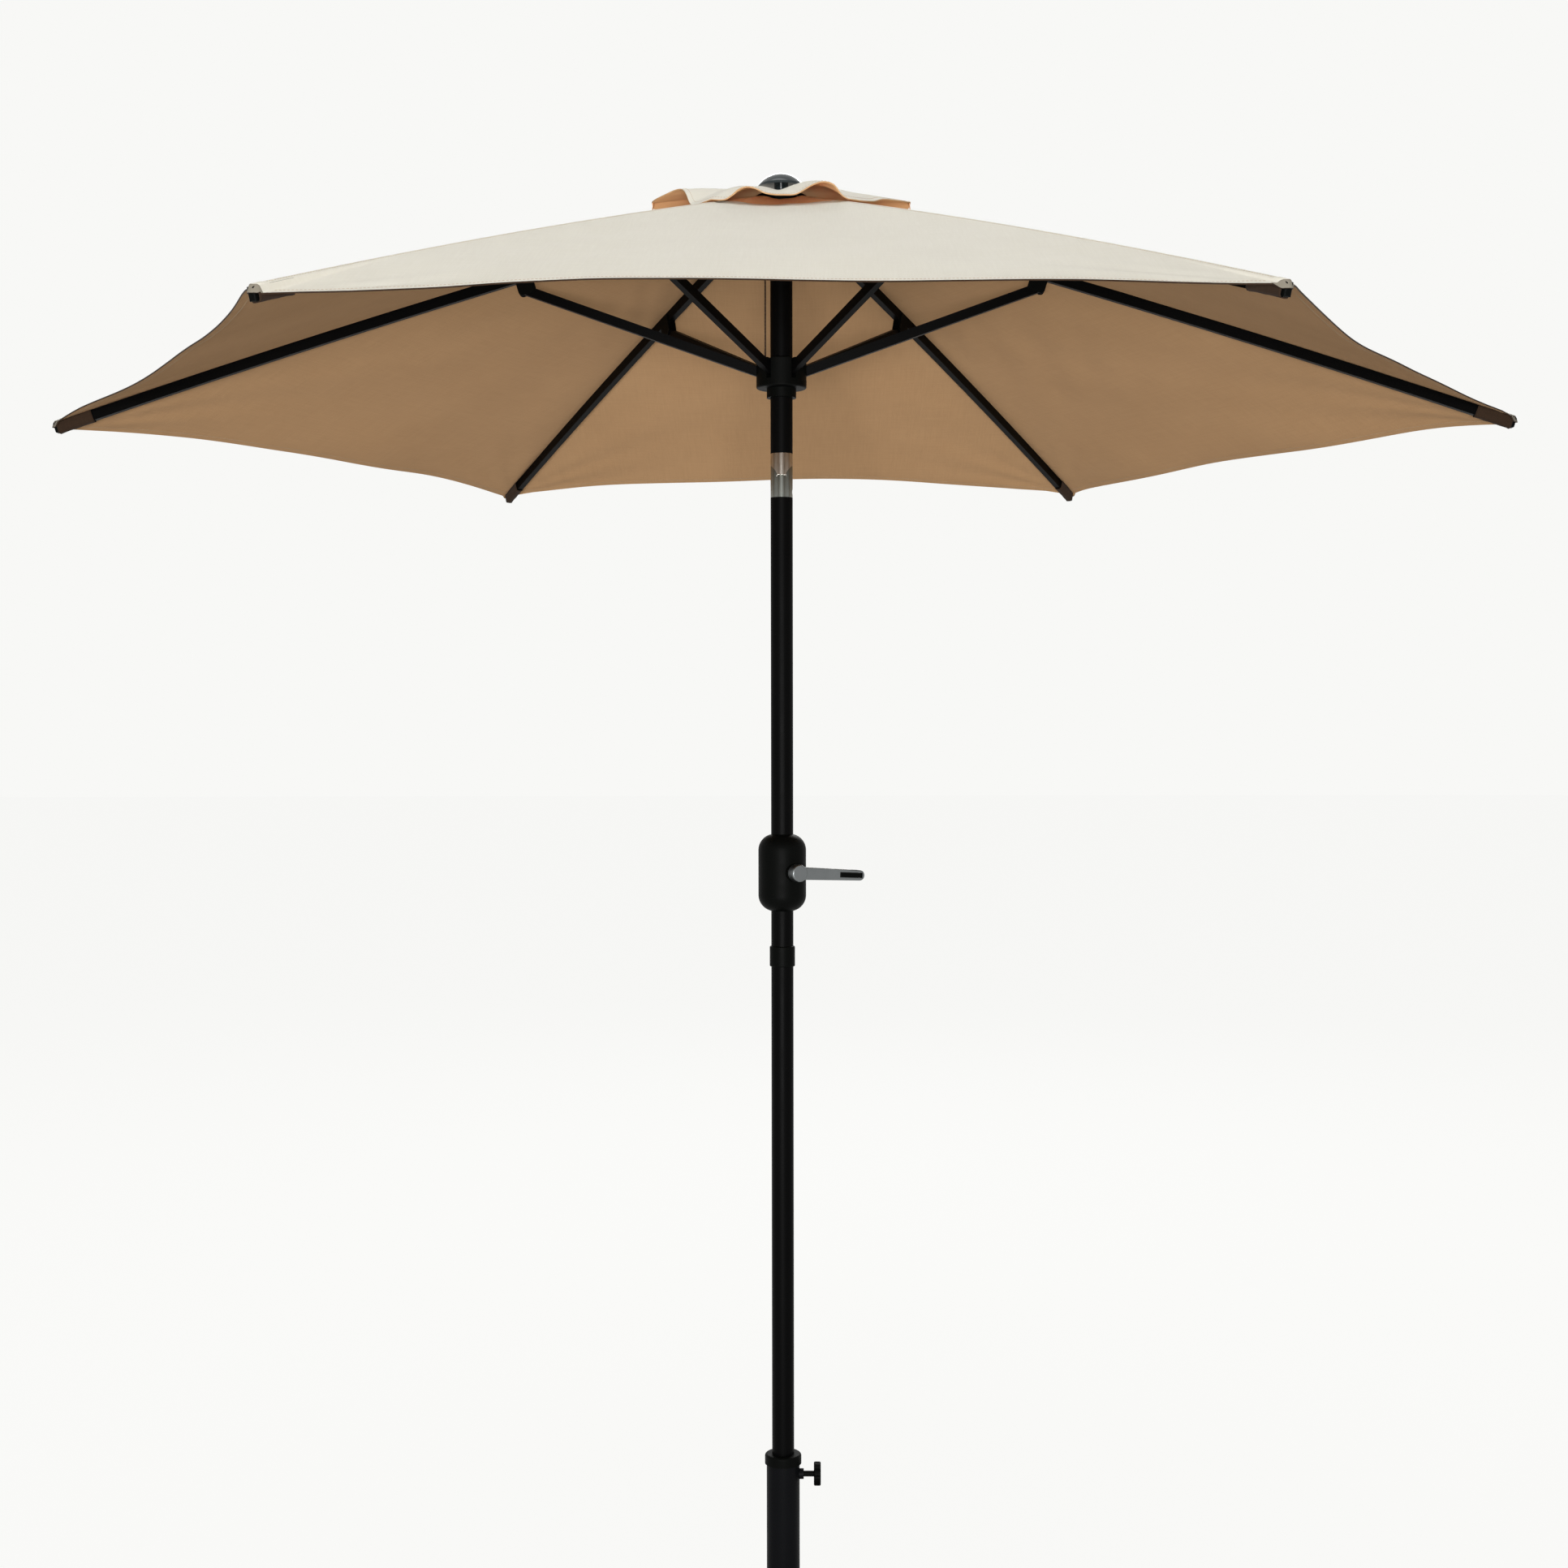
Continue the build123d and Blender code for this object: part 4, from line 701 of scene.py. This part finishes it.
def make_canopy_gore(rib):
    """The cloth on one rib, to the middles of its panels: before the rib, the strip over it, and after it."""
    before, after = panels_beside(rib)
    points, normals, tops, unders = [], [], [], []
    rows, vent_shade_rows = gore_rows()
    for down in rows:
        reach = VENT_HOLE + CLOTH_SPAN * down
        side = gore_columns(reach)
        middle = len(side) - 1
        places = [(before, 1 - d / reach, d) for d in side[:0:-1]] + [(after, d / reach, d) for d in side]
        points.append([panel_surface(panel, share, down) for panel, share, d in places])
        facing = [surface_normal(panel_surface, panel, share, down) for panel, share, d in places]
        facing[middle] = seam_normal(panel_surface, before, after, down)
        normals.append(facing)
        at_hem = (1 - down) * CLOTH_SPAN <= HEM_BAND + TOLERANCE
        at_hole = down * CLOTH_SPAN <= EDGE_BAND + TOLERANCE
        hem = HEM_EXTRA if at_hem or at_hole else 0.0
        tops.append([CLOTH + hem + (SEAM_EXTRA if d <= SEAM_HALF else 0.0) for p, s, d in places])
        unders.append([hem * smooth(RIB_WIDTH / 2, RIB_WIDTH, d) for p, s, d in places])
    panels_of = [before] * middle + [after] * middle
    maps = {panel: flat_map(panel) for panel in (before, after)}
    # The edge walls take the dark pocket webbing, as a painted shadow line along the hem
    cloths = [CLOTH_TOP, CLOTH_UNDER_PAINTED_SHADE, POCKET_AND_HEM_SHADE_CLOTH, VENT_PAINTED_SHADE_CLOTH, TIP_FLAP_SHADE_CLOTH]
    at_tip = sum(1 for d in side if d <= FLAP_HALF)

    def upper_kind(r, c):
        # The outside under the vent cap takes the vent's cloth, as painted shade
        if r < vent_shade_rows:
            return UNDER_VENT_SHADE
        # The fold over a rib's tip takes its darker cloth, as painted shade
        in_flap = r >= len(rows) - TIP_ROWS and abs(c + 0.5 - middle) < at_tip - 1
        return AT_TIP if in_flap else ABOVE

    kinds = [[upper_kind(r, c) for c in range(2 * middle)] for r in range(len(rows) - 1)]
    edge = side.index(STRIP_HALF)
    cuts = (0, middle - edge, middle + edge, 2 * middle)
    pieces = []
    for word, low, high in zip(("before", "over", "after"), cuts, cuts[1:]):
        name = f"canopy_cloth_{rib + 1}_{word}"
        grids = [[row[low:high + 1] for row in grid] for grid in (points, normals, tops, unders)]
        place, facing, top, under = grids
        kind = [row[low:high] for row in kinds]
        pieces.append(make_sheet(name, place, facing, maps, top, under, panels_of[low:high], cloths, kind))
    return pieces


def seam_runs(rib):
    """Stitches on both faces of the hem before a rib, along the seam over it, and on the hem after it."""
    before, after = panels_beside(rib)
    seams, hems = [], []
    count = int(2 * CLOTH_SPAN / math.cos(RIB_SLOPE) / STITCH_PITCH)
    for panel, base, sign in ((before, 1.0, -1), (after, 0.0, 1)):
        run = []
        for k in range(count):
            down = SEAM_RUN_START + SEAM_RUN_SPAN * k / count
            share = base + sign * STITCH_ASIDE / (VENT_HOLE + CLOTH_SPAN * down)
            normal = surface_normal(panel_surface, panel, share, down)
            run.append((panel_surface(panel, share, down) + normal * (CLOTH + SEAM_EXTRA), normal))
        seams.append(run)
    down = 1 - HEM_BAND * STITCH_LINE / CLOTH_SPAN
    hem_count = int((TIP_RADIUS / STITCH_PITCH) / 2) * 2
    for panel, low, high in ((before, 0.5, 1 - HEM_RUN_END), (after, HEM_RUN_END, 0.5)):
        above, below = [], []
        for k in range(hem_count):
            share = low + (high - low) * (k + 0.5) / hem_count
            point = panel_surface(panel, share, down)
            normal = surface_normal(panel_surface, panel, share, down)
            above.append((point + normal * (CLOTH + HEM_EXTRA), normal))
            below.append((point - normal * HEM_EXTRA, -normal))
        hems.append([above, below])
    return hems[0], seams, hems[1]


def rib_matrix(rib):
    """From a rib's own frame, where +X runs out along it, to its place."""
    place = Matrix.Translation(PIVOT) @ Matrix.Rotation(RIB_SLOPE, 4, "Y")
    return Matrix.Rotation(rib * STEP, 4, "Z") @ place


def make_tip_pocket(rib):
    """Sewn sleeve round the rib's end: a soft U of webbing whose sides run up to the cloth."""
    start = RIB_LENGTH - TIP_BARE - POCKET_LENGTH
    half = RIB_WIDTH / 2 + POCKET_GAP
    low = -RIB_HEIGHT / 2 - POCKET_GAP
    top = RIB_HEIGHT / 2 + POCKET_TOP
    right = [(half - POCKET_FLARE, low), (half, low + POCKET_CORNER), (half, 0.0)]
    right += [(half + POCKET_GAP, top - POCKET_SHOULDER), (half + POCKET_FLARE, top)]
    profile = [(-y, z) for y, z in right[::-1]] + [(0.0, low - POCKET_BELLY)] + right
    rows = POCKET_ROWS
    count = len(profile)
    place = rib_matrix(rib)
    points, faces = [], []
    for wall in (0.0, POCKET_WALL):
        for r in range(rows):
            share = r / (rows - 1)
            x = start + POCKET_LENGTH * share
            fold = POCKET_MOUTH * (1 - smooth(0.0, 0.10, share)) + POCKET_END * smooth(0.9, 1.0, share)
            for k, (y, z) in enumerate(profile):
                at_cloth = k in (0, count - 1)
                out = Vector((0, 0, 0)) if at_cloth else Vector((0, y, min(z, 0))).normalized()
                spread = 1 + POCKET_UNEVEN * math.sin(9 * share + k)
                grow = wall + (fold if wall else 0.0)
                sway = POCKET_SWAY * abs(math.sin(math.pi * share * 2.5 + 0.9 * k))
                base = Vector((x, y, z + rib_rise(x)))
                points.append(place @ (base + out * (grow * spread + sway)))

    def index(layer, r, k):
        return layer * rows * count + r * count + k

    for r in range(rows - 1):
        for k in range(count - 1):
            faces.append([index(1, r, k), index(1, r + 1, k), index(1, r + 1, k + 1), index(1, r, k + 1)])
            faces.append([index(0, r, k + 1), index(0, r + 1, k + 1), index(0, r + 1, k), index(0, r, k)])
    for r in (0, rows - 1):
        for k in range(count - 1):
            end = [index(0, r, k), index(1, r, k), index(1, r, k + 1), index(0, r, k + 1)]
            faces.append(end if r == 0 else end[::-1])
    for r in range(rows - 1):
        for k in (0, count - 1):
            edge = [index(0, r, k), index(0, r + 1, k), index(1, r + 1, k), index(1, r, k)]
            faces.append(edge if k == 0 else edge[::-1])
    piece = add_mesh(f"tip_pocket_{rib + 1}", points, faces, [POCKET_AND_HEM_SHADE_CLOTH])
    layer = piece.data.uv_layers.new(name="flat")
    for loop in piece.data.loops:
        n = loop.vertex_index % (rows * count)
        layer.data[loop.index].uv = (POCKET_LENGTH * (n // count) / rows, POCKET_FLAT_STEP * (n % count))
    return piece


# Vent cap: for each panel, how high its hem stands above the canopy, as (share across, height)
HEM_LIFTS = (
    ((0.0, 0.045), (0.30, 0.034), (0.60, 0.036), (1.0, 0.020)),
    ((0.0, 0.020), (0.28, 0.040), (0.55, 0.030), (0.78, 0.038), (1.0, 0.022)),
    ((0.0, 0.022), (0.35, 0.040), (0.70, 0.036), (1.0, 0.045)),
    ((0.0, 0.045), (0.28, 0.046), (0.48, 0.045), (0.60, 0.034), (0.74, 0.009), (0.86, 0.003), (1.0, 0.002)),
    (
        (0.0, 0.002), (0.10, 0.0025), (0.15, 0.009), (0.20, 0.019), (0.25, 0.0225), (0.31, 0.020),
        (0.375, 0.0135), (0.44, 0.0112), (0.53, 0.0098), (0.62, 0.0095), (0.67, 0.014), (0.72, 0.0215),
        (0.78, 0.0285), (0.84, 0.0305), (0.90, 0.025), (0.95, 0.009), (1.0, 0.002),
    ),
    ((0.0, 0.002), (0.30, 0.014), (0.60, 0.030), (1.0, 0.045)),
)
TIED_LIFT = 0.010


def vent_surface(panel, share, out_share):
    """The vent cap's underside: flat on the hub, then out and down to a hem that stands off the canopy."""
    out, along = panel_frame(panel)
    bow = math.sin(math.pi * share) ** 2
    rim = VENT_CORNER + (VENT_MIDDLE - VENT_CORNER) * bow
    azimuth = (share - 0.5) * STEP
    reach = VENT_INNER + (rim - VENT_INNER) * out_share
    lift = curve_through(HEM_LIFTS[panel], share)
    top = HUB_TOP + HUB_CLEARANCE
    hem = canopy_top(rim * math.cos(azimuth)) + lift
    fall = VENT_PUFF
    if panel == VENT_DIP_PANEL:
        fall -= (VENT_PUFF - 1) * math.exp(-(((share - VENT_DIP[0]) / VENT_DIP[1]) ** 2))
    t = max((reach - HUB_RADIUS) / (rim - HUB_RADIUS), 0.0)
    height = top + (hem - top) * t ** fall
    across, outward = VENT_WAVES
    spot = Vector((panel * VENT_PANEL_SHIFT + share * across, out_share * outward, VENT_NOISE_LAYER))
    height += VENT_WRINKLE * noise.noise(spot) * bow * t
    if reach > VENT_HOLE:
        height = max(height, canopy_top(reach * math.cos(azimuth)))
    flat = out * (reach * math.cos(azimuth)) + along * (reach * math.sin(azimuth))
    return flat + Vector((0, 0, height))


def canopy_top(forward):
    """Just above the canopy's outer face, at a distance out along the middle of a panel."""
    return ridge_height(forward / math.cos(STEP / 2)) + CLOTH + VENT_REST


def make_vent_gore(rib):
    """The vent cap's cloth over one rib."""
    before, after = panels_beside(rib)
    half = VENT_COLUMNS
    shares = [k / half / 2 for k in range(half + 1)]
    hem_row = 1 - VENT_HEM / (VENT_CORNER - VENT_INNER)
    span = hem_row - VENT_HEM_STEP - VENT_FIRST_ROW
    rows = [0.0, VENT_FIRST_ROW]
    rows += [VENT_FIRST_ROW + span * k / VENT_ROWS for k in range(1, VENT_ROWS + 1)]
    rows += [hem_row, VENT_LAST_ROW, 1.0]
    places = [(before, 1 - s) for s in shares[:0:-1]] + [(after, s) for s in shares]
    points, normals, tops, unders = [], [], [], []
    for row in rows:
        points.append([vent_surface(panel, share, row) for panel, share in places])
        facing = [surface_normal(vent_surface, panel, share, row, VENT_PROBE) for panel, share in places]
        facing[half] = seam_normal(vent_surface, before, after, row)
        normals.append(facing)
        hem = HEM_EXTRA if row >= hem_row else 0.0
        tops.append([CLOTH + hem] * len(places))
        unders.append([hem * smooth(*VENT_UNDER_FADE, min(s, 1 - s)) for p, s in places])
    panels_of = [before] * half + [after] * half
    maps = {panel: flat_map(panel) for panel in (before, after)}
    # Below takes the vent's painted-shade cloth; the edge walls take the canopy's inside, painted browner as
    # painted shade
    cloths = [CLOTH_TOP, VENT_PAINTED_SHADE_CLOTH, CLOTH_UNDER_PAINTED_SHADE]
    kinds = [[ABOVE] * (len(places) - 1)] * (len(rows) - 1)
    name = f"vent_cloth_{rib + 1}"
    return make_sheet(name, points, normals, maps, tops, unders, panels_of, cloths, kinds)


def vent_runs(rib):
    """Stitches along the vent cap's hem."""
    before, after = panels_beside(rib)
    row = 1 - VENT_HEM * STITCH_LINE / (VENT_CORNER - VENT_INNER)
    runs = []
    count = int(VENT_CORNER * STEP / 2 / STITCH_PITCH) * 2
    for panel, low, high in ((before, 0.5, 1.0), (after, 0.0, 0.5)):
        run = []
        for k in range(count):
            share = low + (high - low) * (k + 0.5) / count
            normal = surface_normal(vent_surface, panel, share, row, VENT_PROBE)
            run.append((vent_surface(panel, share, row) + normal * (CLOTH + HEM_EXTRA), normal))
        runs.append(run)
    return runs


def make_vent_tie(rib):
    """A tape from the vent cap's corner down to the canopy's seam, slightly bellied out."""
    head = vent_surface(rib, 0.0, TIE_ROW)
    radius = math.hypot(head.x, head.y)
    foot = canopy_top(radius * math.cos(STEP / 2)) - VENT_REST + SEAM_EXTRA
    out, side = rib_frame(rib)
    rows, columns = TIE_GRID
    points, faces, uvs = [], [], []
    for layer in (0, 1):
        for r in range(rows):
            share = r / (rows - 1)
            height = head.z + TIE_OVERLAP + (foot - head.z) * share
            belly = TIE_BELLY * math.sin(math.pi * share) + (1 - 2 * layer) * TIE_THICKNESS / 2
            for c in range(columns):
                across = c / (columns - 1) - 0.5
                twist = TIE_TWIST * across * math.sin(TIE_TURN * share + rib)
                spot = out * (radius + belly + twist) + side * (across * TIE_WIDTH)
                points.append(spot + Vector((0, 0, height)))
                uvs.append((across * TIE_WIDTH, share * (head.z - foot)))

    def index(layer, r, c):
        return (layer * rows + r) * columns + c

    for r in range(rows - 1):
        for c in range(columns - 1):
            faces.append([index(0, r, c), index(0, r + 1, c), index(0, r + 1, c + 1), index(0, r, c + 1)])
            faces.append([index(1, r, c + 1), index(1, r + 1, c + 1), index(1, r + 1, c), index(1, r, c)])
        for c, order in ((0, 1), (columns - 1, -1)):
            wall = [index(0, r, c), index(1, r, c), index(1, r + 1, c), index(0, r + 1, c)]
            faces.append(wall[::order])
    for r, order in ((0, -1), (rows - 1, 1)):
        for c in range(columns - 1):
            wall = [index(0, r, c), index(1, r, c), index(1, r, c + 1), index(0, r, c + 1)]
            faces.append(wall[::order])
    corner_uvs = [uvs[v] for face in faces for v in face]
    # The tie takes the vent's cloth, painted tan as painted shade
    return add_mesh(f"vent_tie_{rib + 1}", points, faces, [VENT_PAINTED_SHADE_CLOTH], uvs=corner_uvs)


def carry(piece, rib, keep=1.0):
    """Lets cloth ride on its rib, and gives it its own mesh when keep is under 1."""
    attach(piece, f"rib_{rib + 1}")
    if keep < 1.0:
        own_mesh(piece)
    return piece


def hang_vent(piece):
    """Bakes the vent cap's cloth's place into its mesh."""
    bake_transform(piece)
    return piece


def make_canopy():
    """Every rib's cloth, thread, pocket, vent cap and tie; the flat sizes they were cut to are worked out but not
    used.
    """
    tip = TIP_RADIUS + TIP_OVER
    length = (tip - VENT_HOLE) * math.cos(STEP / 2) * FACE_SLANT
    triangle = (tip ** 2 - VENT_HOLE ** 2) * math.cos(STEP / 2) * FACE_SLANT / 2
    scallop = 2 / 3 * tip * HEM_SCALLOP * FACE_SLANT
    strip = (2 * STRIP_HALF, CLOTH_SPAN / math.cos(RIB_SLOPE))
    strip_area = strip[0] * strip[1]
    beside_area = (triangle - scallop - strip_area) / 2
    beside = (tip / 2 - STRIP_HALF, length)
    for rib in range(RIBS):
        before, over, after = make_canopy_gore(rib)
        before_runs, over_runs, after_runs = seam_runs(rib)
        parts = (
            (before, before_runs, beside, beside_area, CANOPY_KEEP, -STRIP_HALF),
            (over, over_runs, strip, strip_area, 1.0, 0.0),
            (after, after_runs, beside, beside_area, CANOPY_KEEP, STRIP_HALF),
        )
        for cloth, runs, flat, area, keep, offset in parts:
            carry(cloth, rib, keep)
            thread = add_stitches(cloth.name.replace("cloth", "thread"), runs)
            extras = [carry(thread, rib, keep)]
            if cloth is over:
                extras.append(carry(make_tip_pocket(rib), rib))
            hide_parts(f"canopy_gore_{rib + 1}")
        vent = hang_vent(make_vent_gore(rib))
        vent_extras = [carry(add_stitches(f"vent_thread_{rib + 1}", vent_runs(rib)), rib)]
        if HEM_LIFTS[rib][0][1] > TIED_LIFT:
            vent_extras.append(carry(make_vent_tie(rib), rib))
        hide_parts(f"vent_gore_{rib + 1}")


# Floor, world, lamps and camera


def seen_rays(tree):
    """1 for rays from the camera or from a mirror or glass surface, else 0."""
    path = tree.nodes.new("ShaderNodeLightPath")
    total = path.outputs["Is Camera Ray"]
    for kind in ("Is Glossy Ray", "Is Transmission Ray"):
        both = tree.nodes.new("ShaderNodeMath")
        both.operation = "MAXIMUM"
        tree.links.new(total, both.inputs[0])
        tree.links.new(path.outputs[kind], both.inputs[1])
        total = both.outputs[0]
    return total


def make_floor_material():
    """Looks as pale as the background, keeps the object's shadow, and bounces plain light."""
    material = bpy.data.materials.new("pale_floor")
    material.use_nodes = True
    tree = material.node_tree
    tree.nodes.remove(tree.nodes["Principled BSDF"])
    bounce = tree.nodes.new("ShaderNodeBsdfDiffuse")
    bounce.inputs["Color"].default_value = FLOOR_BOUNCE
    shade = tree.nodes.new("ShaderNodeBsdfDiffuse")
    shade.inputs["Color"].default_value = FLOOR_SHADE
    glow = tree.nodes.new("ShaderNodeEmission")
    glow.inputs["Color"].default_value = (*linear(BACKGROUND), 1)
    glow.inputs["Strength"].default_value = FLOOR_GLOW
    both = tree.nodes.new("ShaderNodeAddShader")
    tree.links.new(shade.outputs["BSDF"], both.inputs[0])
    tree.links.new(glow.outputs["Emission"], both.inputs[1])
    mix = tree.nodes.new("ShaderNodeMixShader")
    tree.links.new(seen_rays(tree), mix.inputs["Fac"])
    tree.links.new(bounce.outputs["BSDF"], mix.inputs[1])
    tree.links.new(both.outputs["Shader"], mix.inputs[2])
    tree.links.new(mix.outputs["Shader"], tree.nodes["Material Output"].inputs["Surface"])
    return material


def make_world():
    """Dim even light, with the pale background where the camera or a mirror looks."""
    world = bpy.data.worlds.new("studio")
    bpy.context.scene.world = world
    world.use_nodes = True
    tree = world.node_tree
    background = tree.nodes["Background"]
    background.inputs["Color"].default_value = (1, 1, 1, 1)
    background.inputs["Strength"].default_value = WORLD_STRENGTH
    seen = tree.nodes.new("ShaderNodeBackground")
    seen.inputs["Color"].default_value = (*linear(BACKGROUND), 1)
    seen.inputs["Strength"].default_value = 1.0
    mix = tree.nodes.new("ShaderNodeMixShader")
    tree.links.new(seen_rays(tree), mix.inputs["Fac"])
    tree.links.new(background.outputs["Background"], mix.inputs[1])
    tree.links.new(seen.outputs["Background"], mix.inputs[2])
    tree.links.new(mix.outputs["Shader"], tree.nodes["World Output"].inputs["Surface"])


def add_lamp(name, place, aim, size, power, spread):
    lamp = bpy.data.lights.new(name, "AREA")
    lamp.shape = "RECTANGLE"
    lamp.size, lamp.size_y = size
    lamp.energy = power
    lamp.spread = spread
    lamp_object = bpy.data.objects.new(name, lamp)
    bpy.context.scene.collection.objects.link(lamp_object)
    lamp_object.location = place
    direction = Vector(aim) - Vector(place)
    lamp_object.rotation_euler = direction.to_track_quat("-Z", "Y").to_euler()


def make_stage():
    """Pale floor, camera and plain soft light."""
    mesh = bpy.data.meshes.new("floor")
    far = FLOOR_HALF
    mesh.from_pydata([(-far, -far, 0), (far, -far, 0), (far, far, 0), (-far, far, 0)], [], [[0, 1, 2, 3]])
    mesh.materials.append(make_floor_material())
    floor = bpy.data.objects.new("floor", mesh)
    bpy.context.scene.collection.objects.link(floor)
    make_world()
    for lamp in LAMPS:
        add_lamp(*lamp)

    camera = bpy.data.objects.new("camera", bpy.data.cameras.new("camera"))
    bpy.context.scene.collection.objects.link(camera)
    bpy.context.scene.camera = camera
    camera.data.sensor_width = SENSOR
    camera.data.lens = SENSOR * FOCAL_PIXELS / IMAGE_PIXELS
    aim = Matrix.Rotation(CAMERA_YAW, 4, "Z") @ Matrix.Rotation(math.pi / 2 + CAMERA_PITCH, 4, "X")
    aim = aim @ Matrix.Rotation(CAMERA_ROLL, 4, "Z")
    camera.matrix_world = Matrix.Translation(CAMERA_PLACE) @ aim
    bpy.context.scene.view_settings.view_transform = "Standard"


finish_cad_nodes()
make_canopy()
make_stage()
